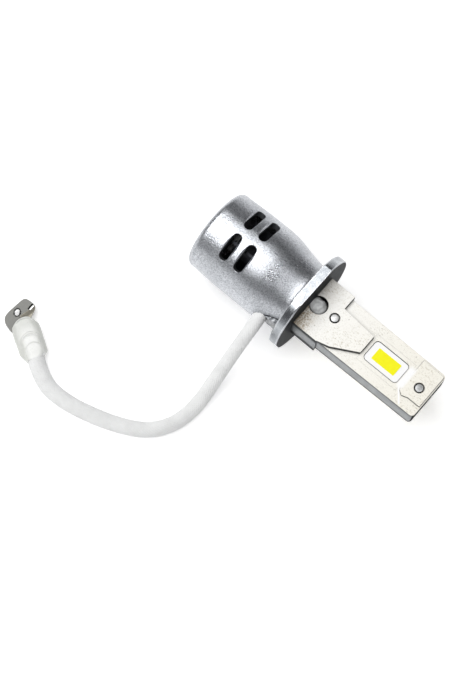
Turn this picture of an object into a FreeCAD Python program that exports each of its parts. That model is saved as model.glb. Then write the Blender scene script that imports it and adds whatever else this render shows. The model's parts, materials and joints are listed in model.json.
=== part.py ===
import FreeCAD, Part
import os
import math
import Sketcher

# Headlight bulb: a 22 mm flanged LED bulb with a flat two-sided blade, a vented fan housing
# behind the flange and a sleeved flying lead with one booted tab terminal.
#
# Working axes: the bulb's axis is X with the blade's tip at +X, x = 0 on the flange's front face,
# the blade's front face looks to +Z and the lead leaves towards -Y. Every node is then placed by
# SEAT, so that the bulb lies on z = 0 with the origin under the middle of its length.

DIMENSIONS = {
    # placing of the whole bulb
    "seat_x": -2.25,
    "axis_height": 11.0,
    # general
    "cut_reach": 1.0,
    "small_gap": 0.1,
    "overlap": 0.2,
    "hair_gap": 0.01,
    # mounting flange
    "flange_radius": 11.0,
    "flange_thickness": 2.0,
    "flange_flat": 9.8,
    "flange_facet": 10.57,
    "flange_bevel": 0.25,
    "spigot_radius": 6.15,
    "spigot_depth": 2.4,
    "tang_slot_width": 9.4,
    "tang_slot_height": 3.5,
    "pocket_depth": 0.6,
    "pocket_gap": 0.04,
    # fan housing
    "housing_length": 25.0,
    "housing_radius": 9.05,
    "housing_round": 1.2,
    "fan_bore": 7.5,
    "shoulder_x": 19.8,
    "plenum_bore": 7.9,
    "plenum_x": 13.0,
    "neck_bore": 6.2,
    "taper_x": 10.4,
    "neck_radius": 7.55,
    "vent_width": 1.8,
    "vent_rear_x": 18.35,
    "vent_front_x": 14.65,
    "vent_column": 25.4,
    "vent_sweep": 27.5,
    "vent_inner": 4.0,
    "notch_x": 8.6,
    "notch_height": 3.8,
    "notch_floor": 5.5,
    # blade
    "blade_length": 29.5,
    "blade_width": 11.3,
    "tip_width": 10.8,
    "tip_round": 0.8,
    "blade_face": 2.2,
    "base_length": 5.8,
    "base_width": 12.1,
    "base_face": 3.12,
    "seam_z": 1.1,
    "pad_rise": 0.3,
    "tang_length": 6.0,
    "tang_width": 9.2,
    "tang_top": 1.6,
    "core_width": 5.0,
    "core_thickness": 1.0,
    "core_tip": 28.2,
    "core_rear_x": 18.4,
    # light source
    "light_x": 18.7,
    "recess_length": 9.8,
    "recess_width": 6.6,
    "recess_depth": 0.6,
    "board_length": 8.3,
    "board_width": 5.0,
    "board_thickness": 0.2,
    "board_corner": 0.1,
    "package_length": 8.1,
    "package_width": 4.6,
    "package_thickness": 0.35,
    "package_corner": 0.7,
    "phosphor_length": 5.5,
    "phosphor_width": 2.7,
    "phosphor_thickness": 0.08,
    "phosphor_corner": 0.15,
    # rivets and posts
    "rivet_radius": 0.95,
    "rivet_ring": 1.08,
    "rivet_dome": 2.09,
    "rivet_sink": 0.5,
    "base_rivet_x": 5.55,
    "tip_rivet_x": 26.85,
    "post_hole_x": 1.5,
    "post_hole_radius": 1.93,
    "post_hole_depth": 1.85,
    "post_radius": 1.2,
    "post_z": 1.75,
    "post_foot_z": 1.32,
    "post_length": 2.3,
    "lead_radius": 0.35,
    "lead_z": 2.3,
    # driver
    "driver_x": 9.6,
    "driver_radius": 5.9,
    "driver_thickness": 0.8,
    "spacer_inner": 5.2,
    "inductor_y": -1.9,
    "inductor_z": -3.6,
    "inductor_radius": 1.5,
    "inductor_height": 1.8,
    "capacitor_y": 2.2,
    "capacitor_z": 1.6,
    "capacitor_radius": 1.5,
    "capacitor_height": 3.0,
    "chip_y": 2.3,
    "chip_z": -3.4,
    "chip_width": 2.8,
    "chip_height": 2.4,
    "chip_thickness": 0.8,
    "chip_mark": 0.3,
    "diode_y": 2.6,
    "diode_z": -2.9,
    "diode_width": 1.2,
    "diode_length": 2.0,
    "diode_thickness": 0.9,
    # heat sink in the air plenum
    "sink_rear_x": 18.9,
    "sink_front_x": 13.3,
    "sink_hub_radius": 3.5,
    "sink_fin_radius": 6.4,
    "sink_fin_thickness": 0.5,
    "sink_fins": 10,
    # fan
    "frame_radius": 7.45,
    "frame_inner": 6.85,
    "frame_rear_x": 24.2,
    "frame_front_x": 19.9,
    "base_rear_x": 20.7,
    "base_radius": 3.0,
    "strut_width": 1.0,
    "tube_radius": 1.15,
    "bearing_radius": 0.75,
    "bearing_bore": 0.42,
    "shaft_radius": 0.4,
    "hub_radius": 3.1,
    "hub_rear_x": 24.1,
    "hub_plate": 0.6,
    "hub_front_x": 21.4,
    "yoke_outer": 2.7,
    "yoke_inner": 2.5,
    "magnet_inner": 2.15,
    "fan_blade_tip": 6.35,
    "fan_blades": 7,
    "ring_inner": 6.9,
    "ring_thickness": 0.5,
    "tube_length": 2.3,
    "fan_board_thickness": 0.3,
    "shaft_recess": 0.2,
    "shaft_end_gap": 0.4,
    "fan_blade_lean": 1.25,
    "fan_blade_chord": 0.4,
    "core_front": 0.8,
    "core_rear": 2.0,
    "core_ring": 0.25,
    "core_reach": 1.95,
    "arm_width": 0.4,
    "shoe_width": 1.1,
    "shoe_thickness": 0.15,
    "coil_inner": 1.45,
    "coil_outer": 1.75,
    "coil_width": 0.8,
    "coil_overhang": 0.15,
    "fan_lead_y": 0.6,
    "fan_lead_z": 4.4,
    "fan_lead_radius": 0.3,
    "fan_lead_pad": 0.35,
    # lead and terminal
    "exit_x": 6.3,
    "exit_y": 8.0,
    "grommet_floor": 5.7,
    "grommet_bore": 0.9,
    "cord_diameter": 3.0,
    "boot_length": 8.9,
    "boot_width": 5.5,
    "boot_thickness": 3.8,
    "boot_wall": 0.5,
    "boot_back": 2.6,
    "boot_rounding": 1.37,
    "heel_rise": 1.4,
    "heel_far": 1.6,
    "heel_near": 1.2,
    "mouth_far": 2.6,
    "mouth_near": 3.4,
    "mouth_far_step": 1.0,
    "mouth_far_rise": 1.2,
    "mouth_near_step": 1.4,
    "mouth_near_rise": 1.0,
    "tab_thickness": 0.8,
    "tab_corner": 0.45,
    "tab_hole": 0.9,
    "crimp_radius": 1.3,
    "crimp_rear": 1.8,
    "crimp_front": 0.9,
    "crimp_slot": 0.6,
    "crimp_notch": 0.3,
}

SHEET = "Dimensions"
TINY = 0.01  # coordinates closer than this count as equal

FACET_ANGLE = 106  # the facet's middle, turned from the top flat towards the lead's side
RECESS_SLOPE = -50

# Outlines across the blade's face, by distance along the bulb and across it.
TONGUE = [(5.6, -6.0), (8.4, -5.2), (13.75, -2.15), (13.75, 2.15), (5.6, 2.8)]
TIP_PAD = [(24.1, -2.75), (25.1, -3.4), (26.4, -2.95), (29.2, -2.95), (29.2, 4.9), (24.1, 5.1)]

# The lead's route from the grommet to the boot, on the bulb's working axes.
CORD_ROUTE = [
    (-6.3, -8.0, 0.0), (-5.9, -12.2, -0.6), (-5.8, -17.0, -3.3), (-5.6, -22.4, -7.2),
    (-5.1, -28.2, -9.3), (-5.9, -34.0, -9.5), (-9.0, -38.6, -9.5), (-14.0, -41.5, -9.5),
    (-19.8, -43.6, -9.5), (-25.6, -44.9, -9.4), (-31.2, -44.5, -9.2), (-35.39, -41.99, -9.1)]
ARC_SHARE = 0.45  # how much of a straight run each of its two arcs takes

# The terminal's place, and its tab's outline by distance along and across it.
BOOT_ANGLE = 149.0
BOOT_CENTRE = (-39.2, -39.7, -9.1)
TAB_OUTLINE = [(0.3, -1.3), (4.4, -1.3), (6.1, -2.84), (8.08, -2.05), (8.47, -0.92),
               (5.92, 3.55), (5.0, 3.72), (2.7, 2.1), (0.3, 1.3)]
TAB_SLIT = [(6.05, -2.0), (6.25, -2.22), (7.15, -1.35), (6.95, -1.13)]
TAB_HOLE = (6.0, 1.0)
TAB_ROUNDED = (5.92, 8.47, 8.08, 6.1, 5.0, 2.7)  # the corners that are rounded, by their distance
BOOT_MOUTH = 4.4  # edges beyond this distance belong to the mouth


class Size:
    """A length that carries its number and the spreadsheet formula it comes from."""

    def __init__(self, value, text):
        self.value = value
        self.text = text

    def combine(self, other, sign, flip=False):
        other = size(other)
        first, second = (other, self) if flip else (self, other)
        value = {"+": first.value + second.value, "-": first.value - second.value}[sign]
        return Size(value, "({} {} {})".format(first.text, sign, second.text))

    def __add__(self, other):
        return self.combine(other, "+")

    def __radd__(self, other):
        return self.combine(other, "+", True)

    def __sub__(self, other):
        return self.combine(other, "-")

    def __rsub__(self, other):
        return self.combine(other, "-", True)

    def __neg__(self):
        return Size(-self.value, "(-{})".format(self.text))

    def __mul__(self, factor):
        return Size(self.value * factor, "({} * {})".format(self.text, factor))

    def __truediv__(self, divisor):
        return Size(self.value / divisor, "({} / {})".format(self.text, divisor))


def size(value):
    return value if isinstance(value, Size) else Size(float(value), "({})".format(float(value)))


class Sizes:
    """The spreadsheet's dimensions, read by name."""

    def __getattr__(self, alias):
        return Size(DIMENSIONS[alias], "{}.{}".format(SHEET, alias))


D = Sizes()
doc = FreeCAD.newDocument("headlight_bulb")
SEAT = FreeCAD.Placement(
    FreeCAD.Vector(DIMENSIONS["seat_x"], 0, DIMENSIONS["axis_height"]), FreeCAD.Rotation())
HALF_TURN = FreeCAD.Placement(FreeCAD.Vector(), FreeCAD.Rotation(FreeCAD.Vector(1, 0, 0), 180))
nodes = []


def fill_sheet():
    sheet = doc.addObject("Spreadsheet::Sheet", SHEET)
    for row, (alias, value) in enumerate(DIMENSIONS.items(), start=1):
        sheet.set("A{}".format(row), alias)
        sheet.set("B{}".format(row), str(value))
        sheet.setAlias("B{}".format(row), alias)
    doc.recompute()


def bind(item, path, value):
    """Set a property from a size, with its formula."""
    item.setExpression(path, size(value).text)


def node(item, label, turn=None):
    """Name a finished sub-part and put it in its place on the lying bulb."""
    item.Label = label
    item.Placement = SEAT.multiply(turn) if turn else SEAT
    nodes.append(item)
    return item


# ---- sketches and solids -------------------------------------------------------------------

def new_body(name):
    return doc.addObject("PartDesign::Body", name + "_body")


def new_sketch(body, plane, offset=0):
    """A sketch on one of the body's origin planes, moved along that plane's normal."""
    sketch = body.newObject("Sketcher::SketchObject", "Sketch")
    base = [item for item in body.Origin.OriginFeatures if item.Role == plane][0]
    sketch.AttachmentSupport = [(base, "")]
    sketch.MapMode = "FlatFace"
    bind(sketch, "AttachmentOffset.Base.z", offset)
    return sketch


def fix_point(sketch, geometry, end, across, along):
    """Hold one point of the sketch at its two bound distances from the origin."""
    for kind, amount in (("DistanceX", across), ("DistanceY", along)):
        if size(amount).value == 0:
            line = -2 if kind == "DistanceX" else -1
            sketch.addConstraint(Sketcher.Constraint("PointOnObject", geometry, end, line))
            continue
        index = sketch.addConstraint(
            Sketcher.Constraint(kind, -1, 1, geometry, end, size(amount).value))
        bind(sketch, "Constraints[{}]".format(index), amount)


def draw_outline(sketch, points):
    """A closed outline of straight lines with every corner bound to the sheet."""
    corners = [FreeCAD.Vector(size(a).value, size(b).value, 0) for a, b in points]
    count = len(corners)
    lines = [sketch.addGeometry(Part.LineSegment(corners[i], corners[(i + 1) % count]))
             for i in range(count)]
    for i in range(count):
        sketch.addConstraint(
            Sketcher.Constraint("Coincident", lines[i], 2, lines[(i + 1) % count], 1))
    for line, (across, along) in zip(lines, points):
        fix_point(sketch, line, 1, across, along)


def draw_circle(sketch, across, along, radius):
    centre = FreeCAD.Vector(size(across).value, size(along).value, 0)
    circle = sketch.addGeometry(
        Part.Circle(centre, FreeCAD.Vector(0, 0, 1), size(radius).value))
    fix_point(sketch, circle, 3, across, along)
    index = sketch.addConstraint(Sketcher.Constraint("Radius", circle, size(radius).value))
    bind(sketch, "Constraints[{}]".format(index), radius)


def rectangle(x_from, x_to, y_from, y_to):
    return [(x_from, y_from), (x_to, y_from), (x_to, y_to), (x_from, y_to)]


def turned(name, outline):
    """A body turned about the bulb's axis from (station, radius) corners."""
    body = new_body(name)
    sketch = new_sketch(body, "XZ_Plane")
    draw_outline(sketch, outline)
    turn = body.newObject("PartDesign::Revolution", "Revolution")
    turn.Profile = sketch
    turn.ReferenceAxis = (sketch, ["H_Axis"])
    turn.Angle = 360
    sketch.Visibility = False
    return body


def tube_outline(rear, front, inner, outer):
    return [(rear, inner), (front, inner), (front, outer), (rear, outer)]


def add_pad(body, start, height, outline=None, circles=()):
    """Pad an outline or circles upwards from the height start."""
    sketch = new_sketch(body, "XY_Plane", start)
    if outline:
        draw_outline(sketch, outline)
    for across, along, radius in circles:
        draw_circle(sketch, across, along, radius)
    pad = body.newObject("PartDesign::Pad", "Pad")
    pad.Profile = sketch
    bind(pad, "Length", height)
    return pad


def add_pocket(body, start, depth, outline=None, circles=(), taper=0):
    """Cut an outline or circles downwards from the height start."""
    sketch = new_sketch(body, "XY_Plane", start)
    if outline:
        draw_outline(sketch, outline)
    for across, along, radius in circles:
        draw_circle(sketch, across, along, radius)
    doc.recompute()
    before = body.Shape.Volume
    pocket = body.newObject("PartDesign::Pocket", "Pocket")
    pocket.Profile = sketch
    pocket.TaperAngle = taper
    bind(pocket, "Length", depth)
    doc.recompute()
    if body.Shape.Volume >= before:
        raise RuntimeError("a pocket in {} cuts nothing".format(body.Name))
    return pocket


def round_edges(body, radius, wanted):
    """Fillet the edges of the body's last feature that the test picks out."""
    doc.recompute()
    tip = body.Tip
    names = ["Edge{}".format(i) for i, edge in enumerate(tip.Shape.Edges, start=1) if wanted(edge)]
    fillet = body.newObject("PartDesign::Fillet", "Fillet")
    fillet.Base = (tip, names)
    bind(fillet, "Radius", radius)
    doc.recompute()


def block(x_from, x_to, y_from, y_to, z_from, z_to):
    box = doc.addObject("Part::Box", "Block")
    for side, low, high in (("Length", x_from, x_to), ("Width", y_from, y_to),
                            ("Height", z_from, z_to)):
        bind(box, side, size(high) - low)
    for letter, low in (("x", x_from), ("y", y_from), ("z", z_from)):
        bind(box, "Placement.Base." + letter, low)
    return box


def rod(x_from, x_to, y, z, radius, sweep=360):
    """A round rod along the bulb's axis."""
    cylinder = doc.addObject("Part::Cylinder", "Rod")
    cylinder.Placement.Rotation = FreeCAD.Rotation(FreeCAD.Vector(0, 1, 0), 90)
    bind(cylinder, "Radius", radius)
    bind(cylinder, "Height", size(x_to) - x_from)
    bind(cylinder, "Angle", sweep)
    for letter, low in (("x", x_from), ("y", y), ("z", z)):
        bind(cylinder, "Placement.Base." + letter, low)
    return cylinder


def post(x, y, z_from, z_to, radius):
    """A round pin square to the blade's face."""
    cylinder = doc.addObject("Part::Cylinder", "Post")
    bind(cylinder, "Radius", radius)
    bind(cylinder, "Height", size(z_to) - z_from)
    for letter, low in (("x", x), ("y", y), ("z", z_from)):
        bind(cylinder, "Placement.Base." + letter, low)
    return cylinder


def fuse(items):
    joined = doc.addObject("Part::MultiFuse", "Joined")
    joined.Shapes = items
    return joined


def cut(base, tools):
    remainder = doc.addObject("Part::Cut", "Remainder")
    remainder.Base = base
    remainder.Tool = tools[0] if len(tools) == 1 else fuse(tools)
    return remainder


def group(items):
    together = doc.addObject("Part::Compound", "Group")
    together.Links = items
    return together


def turned_about_axis(item, degrees):
    """Swing a primitive about the bulb's axis, through a holder that carries the turn."""
    holder = group([item])
    holder.Placement.Rotation = FreeCAD.Rotation(FreeCAD.Vector(1, 0, 0), degrees)
    return holder


# ---- flange and housing --------------------------------------------------------------------

def make_flange():
    """Round seat plate with a locating flat, one small facet, and the pocket and slot that take
    the blade's base and tang, so that the seat face is a ring round the blade."""
    back = -D.flange_thickness
    bevel = D.flange_bevel
    rim = D.flange_radius
    disc = turned("flange", [
        (back - D.spigot_depth, 0), (0, 0), (0, rim - bevel), (-bevel, rim),
        (back + bevel, rim), (back, rim - bevel), (back, D.spigot_radius),
        (back - D.spigot_depth, D.spigot_radius)])
    half_width = D.tang_slot_width / 2
    half_height = D.tang_slot_height / 2
    spigot_end = back - D.spigot_depth - D.cut_reach
    slot = block(spigot_end, D.cut_reach, -half_width, half_width, -half_height, half_height)
    pocket_half_width = D.base_width / 2 + D.pocket_gap
    pocket_half_height = D.base_face + D.pocket_gap
    pocket = block(-D.pocket_depth, D.cut_reach, -pocket_half_width, pocket_half_width,
                   -pocket_half_height, pocket_half_height)
    start = back - D.cut_reach
    beyond = rim + D.cut_reach
    flat = block(start, D.cut_reach, -rim, rim, D.flange_flat, beyond)
    facet = turned_about_axis(block(start, D.cut_reach, -rim, rim, D.flange_facet, beyond),
                              FACET_ANGLE)
    lead_hole = D.lead_radius + D.small_gap
    leads = [rod(spigot_end, D.cut_reach, 0, side * D.lead_z.value, lead_hole) for side in (1, -1)]
    node(cut(disc, [slot, pocket, flat, facet] + leads), "base_flange")


def vent_cutter(station, middle):
    """One round-ended vent that runs around the wall, as a wedge with a round pin at each end."""
    half = D.vent_width / 2
    reach = D.housing_radius + D.cut_reach
    wedge = rod(-station - half, -station + half, 0, 0, reach, D.vent_sweep)
    parts = [turned_about_axis(wedge, middle - DIMENSIONS["vent_sweep"] / 2 - 180)]
    for end in (-1, 1):
        pin = post(-station, 0, D.vent_inner, reach, half)
        parts.append(turned_about_axis(pin, middle + end * DIMENSIONS["vent_sweep"] / 2))
    return fuse(parts)


def make_housing():
    """Turned shell: fan bore, air plenum with eight vents, and a neck tapered to the flange."""
    rear = -D.housing_length
    shell = turned("housing", [
        (rear, D.fan_bore), (-D.shoulder_x, D.fan_bore), (-D.shoulder_x, D.plenum_bore),
        (-D.plenum_x, D.plenum_bore), (-D.plenum_x, D.neck_bore), (-D.flange_thickness, D.neck_bore),
        (-D.flange_thickness, D.neck_radius), (-D.taper_x, D.housing_radius),
        (rear, D.housing_radius)])
    back_x = rear.value
    outer = D.housing_radius.value

    def is_back_edge(edge):
        box = edge.BoundBox
        return abs(box.XMax - back_x) < TINY and abs(box.ZMax - outer) < TINY

    round_edges(shell, D.housing_round, is_back_edge)
    column = DIMENSIONS["vent_column"]
    vents = [vent_cutter(station, middle)
             for station in (D.vent_rear_x, D.vent_front_x)
             for middle in (column, -column, 180 + column, 180 - column)]
    half = D.notch_height / 2
    notch = block(-D.notch_x, D.cut_reach - D.flange_thickness, -D.housing_radius - D.cut_reach,
                  -D.notch_floor, -half, half)
    node(cut(shell, vents + [notch]), "fan_housing")


# ---- blade -----------------------------------------------------------------------------------

def blade_half(name, inner):
    """One half of the blade, built with its face up from the height inner.

    A thick base block, the long plate with rounded tip corners, the raised tongue that narrows
    towards the light source, the raised tip pad, and the sunk seat of the light source."""
    body = new_body(name)
    half_base = D.base_width / 2
    half_blade = D.blade_width / 2
    half_tip = D.tip_width / 2
    add_pad(body, inner, D.base_face - inner,
            rectangle(-D.pocket_depth, D.base_length, -half_base, half_base))
    add_pad(body, inner, D.blade_face - inner,
            [(0, -half_blade), (D.base_length, -half_blade), (D.blade_length, -half_tip),
             (D.blade_length, half_tip), (D.base_length, half_blade), (0, half_blade)])
    tip_x = DIMENSIONS["blade_length"]

    def is_tip_corner(edge):
        box = edge.BoundBox
        upright = box.ZLength > 0.5 and box.XLength < TINY and box.YLength < TINY
        return upright and abs(box.XMax - tip_x) < TINY

    round_edges(body, D.tip_round, is_tip_corner)
    add_pad(body, D.blade_face, D.base_face - D.blade_face, TONGUE)
    add_pad(body, D.blade_face, D.pad_rise, TIP_PAD)
    half_length = D.recess_length / 2
    half_width = D.recess_width / 2
    add_pocket(body, D.blade_face, D.recess_depth,
               rectangle(D.light_x - half_length, D.light_x + half_length,
                         -half_width, half_width), taper=RECESS_SLOPE)
    add_pocket(body, D.base_face, D.post_hole_depth,
               circles=[(D.post_hole_x, 0, D.post_hole_radius)])
    half_groove = D.lead_radius + D.small_gap
    add_pocket(body, D.base_face, D.post_hole_depth,
               rectangle(-D.pocket_depth, D.overlap, -half_groove, half_groove))
    add_pocket(body, D.base_face, D.rivet_sink, circles=[(D.base_rivet_x, 0, D.rivet_ring)])
    add_pocket(body, D.blade_face + D.pad_rise, D.rivet_sink,
               circles=[(D.tip_rivet_x, 0, D.rivet_ring)])
    return body


def rivet_holes(body, start, depth):
    add_pocket(body, start, depth, circles=[(D.base_rivet_x, 0, D.rivet_radius),
                                            (D.tip_rivet_x, 0, D.rivet_radius)])


def make_blade():
    body = blade_half("blade_body", -D.seam_z)
    half_tang = D.tang_width / 2
    add_pad(body, -D.seam_z, D.tang_top + D.seam_z,
            rectangle(-D.tang_length, 0, -half_tang, half_tang))
    half_core = D.core_width / 2
    add_pocket(body, D.core_thickness - D.seam_z, D.core_thickness,
               rectangle(-D.tang_length - D.cut_reach, D.core_tip, -half_core, half_core))
    rivet_holes(body, D.base_face, D.base_face + D.seam_z)
    node(body, "blade_body")
    plate = blade_half("blade_back", D.seam_z)
    rivet_holes(plate, D.base_face, D.base_face - D.seam_z)
    node(plate, "blade_back_plate", HALF_TURN)
    core = new_body("core")
    add_pad(core, -D.seam_z, D.core_thickness,
            rectangle(-D.core_rear_x, D.core_tip, -half_core, half_core))
    rivet_holes(core, D.seam_z, D.seam_z + D.seam_z)
    node(core, "copper_heat_strip")


def make_rivet(station, top, label):
    """A pin with a low domed head at each face of the blade."""
    shank = post(station, 0, -top, top, D.rivet_radius)
    dome_radius = DIMENSIONS["rivet_dome"]
    dip = math.sqrt(dome_radius ** 2 - D.rivet_radius.value ** 2)
    heads = []
    for side in (1, -1):
        dome = doc.addObject("Part::Sphere", "Dome")
        dome.Radius = dome_radius
        bind(dome, "Placement.Base.x", station)
        bind(dome, "Placement.Base.z", (top - dip) * side)
        stem = post(station, 0, -top - D.cut_reach, top + D.cut_reach, D.rivet_radius)
        cap = doc.addObject("Part::Common", "Cap")
        cap.Base = dome
        cap.Tool = stem
        heads.append(cap)
    node(fuse([shank] + heads), label)


def make_light(side, turn):
    """Carrier board, white package and yellow phosphor of one face, stacked on the sunk seat."""
    floor = D.blade_face - D.recess_depth
    layers = (
        ("led_board", D.board_length, D.board_width, D.board_thickness, D.board_corner),
        ("led_package", D.package_length, D.package_width, D.package_thickness, D.package_corner),
        ("phosphor", D.phosphor_length, D.phosphor_width, D.phosphor_thickness,
         D.phosphor_corner))
    level = floor
    for name, length, width, thickness, corner in layers:
        body = new_body(side + name)
        add_pad(body, level, thickness,
                rectangle(D.light_x - length / 2, D.light_x + length / 2, -width / 2, width / 2))

        def is_upright(edge):
            box = edge.BoundBox
            return box.XLength < TINY and box.YLength < TINY

        round_edges(body, corner, is_upright)
        node(body, "{}_{}".format(side, name), turn)
        level = level + thickness


def make_posts():
    """Round solder posts of the two light sources and the leads that reach them."""
    posts = [rod(0, D.post_length, 0, side * D.post_z.value, D.post_radius) for side in (1, -1)]
    half_width = D.post_radius + D.cut_reach
    gap = block(-D.cut_reach, D.post_length + D.cut_reach, -half_width, half_width,
                -D.post_foot_z, D.post_foot_z)
    node(cut(group(posts), [gap]), "solder_posts")
    start = D.driver_thickness - D.driver_x
    leads = [rod(start, 0, 0, side * D.lead_z.value, D.lead_radius) for side in (1, -1)]
    node(group(leads), "led_leads")


# ---- driver ----------------------------------------------------------------------------------

def make_driver():
    """Round driver board across the neck, its spacer and its components."""
    rear = -D.driver_x
    front = rear + D.driver_thickness
    board = turned("driver_board", [(rear, 0), (front, 0), (front, D.driver_radius),
                                    (rear, D.driver_radius)])
    node(cut(board, [strip_slot(rear, front)]), "driver_board")
    node(turned("spacer", tube_outline(-D.plenum_x, rear, D.spacer_inner, D.spigot_radius)),
         "driver_spacer")
    node(group([rod(front, front + D.inductor_height, D.inductor_y, D.inductor_z,
                    D.inductor_radius)]), "driver_inductor")
    node(group([rod(rear - D.capacitor_height, rear, side * D.capacitor_y.value, D.capacitor_z,
                    D.capacitor_radius) for side in (1, -1)]), "driver_capacitors")
    chip_far = D.chip_y + D.chip_width / 2
    chip_top = D.chip_z + D.chip_height / 2
    chip = block(front, front + D.chip_thickness, D.chip_y - D.chip_width / 2, chip_far,
                 D.chip_z - D.chip_height / 2, chip_top)
    mark = block(front - D.cut_reach, front + D.chip_thickness + D.cut_reach,
                 chip_far - D.chip_mark, chip_far + D.cut_reach,
                 chip_top - D.chip_mark, chip_top + D.cut_reach)
    node(cut(chip, [mark]), "driver_chip")
    half = D.diode_width.value / 2
    diodes = [block(rear - D.diode_thickness, rear, middle - half, middle + half,
                    D.diode_z - D.diode_length / 2, D.diode_z + D.diode_length / 2)
              for middle in (-D.diode_y.value, D.diode_y.value)]
    node(group(diodes), "driver_diodes")


def strip_slot(x_from, x_to):
    """Slot that lets the copper strip pass."""
    half = D.core_width / 2 + D.overlap
    middle = D.core_thickness / 2 - D.seam_z
    half_height = D.core_thickness / 2 + D.overlap
    return block(x_from - D.cut_reach, x_to + D.cut_reach, -half, half,
                 middle - half_height, middle + half_height)


def make_heat_sink():
    """Finned core in the air stream, pressed on the rear end of the copper strip."""
    rear = -D.sink_rear_x
    front = -D.sink_front_x
    hub = turned("sink_hub", [(rear, 0), (front, 0), (front, D.sink_hub_radius),
                              (rear, D.sink_hub_radius)])
    half = D.sink_fin_thickness / 2
    count = DIMENSIONS["sink_fins"]
    root = D.sink_hub_radius - D.overlap
    fins = [turned_about_axis(block(rear, front, -half, half, root, D.sink_fin_radius),
                              (i + 0.5) * 360 / count)
            for i in range(count)]
    half_core = D.core_width / 2
    seat = block(-D.core_rear_x, front + D.cut_reach, -half_core, half_core,
                 -D.seam_z, D.core_thickness - D.seam_z)
    node(cut(fuse([hub] + fins), [seat]), "heat_sink_core")


# ---- fan -------------------------------------------------------------------------------------

def make_fan_frame():
    """Ring, three struts, motor base and bearing tube."""
    rear = -D.frame_rear_x
    front = -D.frame_front_x
    base = -D.base_rear_x
    ring = turned("frame_ring", tube_outline(rear, front, D.frame_inner, D.frame_radius))
    plate = turned("frame_base", tube_outline(base, front, D.bearing_radius, D.base_radius))
    tube_end = base - D.tube_length
    tube = turned("frame_tube", tube_outline(tube_end, base + D.small_gap, D.bearing_radius,
                                             D.tube_radius))
    half = D.strut_width / 2
    root = D.base_radius - D.overlap
    reach = D.frame_inner + D.overlap
    struts = [turned_about_axis(block(base, front, -half, half, root, reach), angle)
              for angle in (0, 120, 240)]
    node(fuse([ring, plate, tube] + struts), "fan_frame")
    node(turned("bearing", tube_outline(tube_end, front - D.overlap, D.bearing_bore,
                                        D.bearing_radius)), "fan_bearing")
    node(turned("ring", tube_outline(rear - D.ring_thickness, rear, D.ring_inner, D.fan_bore)),
         "fan_retaining_ring")
    node(turned("fan_board", tube_outline(base - D.fan_board_thickness, base, D.tube_radius,
                                          D.base_radius - D.small_gap)), "fan_circuit_board")


def make_stator():
    """Four-pole iron core with a coil on each arm."""
    rear = -D.base_rear_x - D.core_rear
    front = -D.base_rear_x - D.core_front
    ring = turned("core_ring", tube_outline(rear, front, D.tube_radius,
                                            D.tube_radius + D.core_ring))
    half_arm = D.arm_width / 2
    half_shoe = D.shoe_width / 2
    half_coil = D.coil_width / 2
    arms = []
    coils = []
    for angle in (45, 135, 225, 315):
        arm = block(rear, front, -half_arm, half_arm, D.tube_radius + D.small_gap, D.core_reach)
        shoe = block(rear, front, -half_shoe, half_shoe, D.core_reach - D.shoe_thickness,
                     D.core_reach)
        arms += [turned_about_axis(arm, angle), turned_about_axis(shoe, angle)]
        winding = cut(block(rear - D.coil_overhang, front + D.coil_overhang, -half_coil, half_coil,
                            D.coil_inner, D.coil_outer),
                      [block(rear, front, -half_arm, half_arm, D.coil_inner - D.small_gap,
                             D.coil_outer + D.small_gap)])
        coils.append(turned_about_axis(winding, angle))
    node(fuse([ring] + arms), "stator_core")
    node(group(coils), "stator_coils")


def make_rotor():
    """Cup-shaped impeller on its shaft, with the steel yoke ring and the ring magnet inside."""
    rear = -D.hub_rear_x
    front = -D.hub_front_x
    cup = rear + D.hub_plate
    shaft_end = rear + D.shaft_recess
    body = turned("impeller", [
        (rear, 0), (shaft_end, 0), (shaft_end, D.shaft_radius), (cup, D.shaft_radius),
        (cup, D.yoke_outer), (front, D.yoke_outer), (front, D.hub_radius),
        (rear, D.hub_radius)])
    root = D.hub_radius - D.overlap
    lead_edge = rear + D.overlap
    trail_edge = front - D.overlap
    pad = add_pad(body, root, D.fan_blade_tip - root,
                  [(lead_edge, -D.fan_blade_lean), (lead_edge + D.fan_blade_chord, -D.fan_blade_lean),
                   (trail_edge, D.fan_blade_lean), (trail_edge - D.fan_blade_chord, D.fan_blade_lean)])
    around = body.newObject("PartDesign::PolarPattern", "Blades")
    around.Originals = [pad]
    axis = [item for item in body.Origin.OriginFeatures if item.Role == "X_Axis"][0]
    around.Axis = (axis, [""])
    around.Angle = 360
    around.Occurrences = int(DIMENSIONS["fan_blades"])
    body.Tip = around
    node(body, "fan_impeller")
    inner_end = -D.frame_front_x - D.shaft_end_gap
    node(turned("shaft", [(shaft_end, 0), (inner_end, 0), (inner_end, D.shaft_radius),
                          (shaft_end, D.shaft_radius)]), "fan_shaft")
    node(turned("yoke", tube_outline(cup, front, D.yoke_inner, D.yoke_outer)), "rotor_yoke")
    node(turned("magnet", tube_outline(cup + D.overlap, front - D.small_gap, D.magnet_inner,
                                       D.yoke_inner)), "rotor_magnet")


def make_fan_leads():
    """Two leads from the motor base to the driver board."""
    half_pad = D.fan_lead_pad.value
    leads = []
    for across in (-D.fan_lead_y.value, D.fan_lead_y.value):
        wire = rod(-D.frame_front_x, -D.driver_x, across, -D.fan_lead_z, D.fan_lead_radius)
        pad = block(-D.base_rear_x, D.hair_gap - D.frame_front_x, across - half_pad,
                    across + half_pad, -D.fan_lead_z - D.fan_lead_pad,
                    -D.base_radius - D.hair_gap)
        leads.append(fuse([wire, pad]))
    node(group(leads), "fan_leads")


# ---- lead and terminal -------------------------------------------------------------------------

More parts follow.
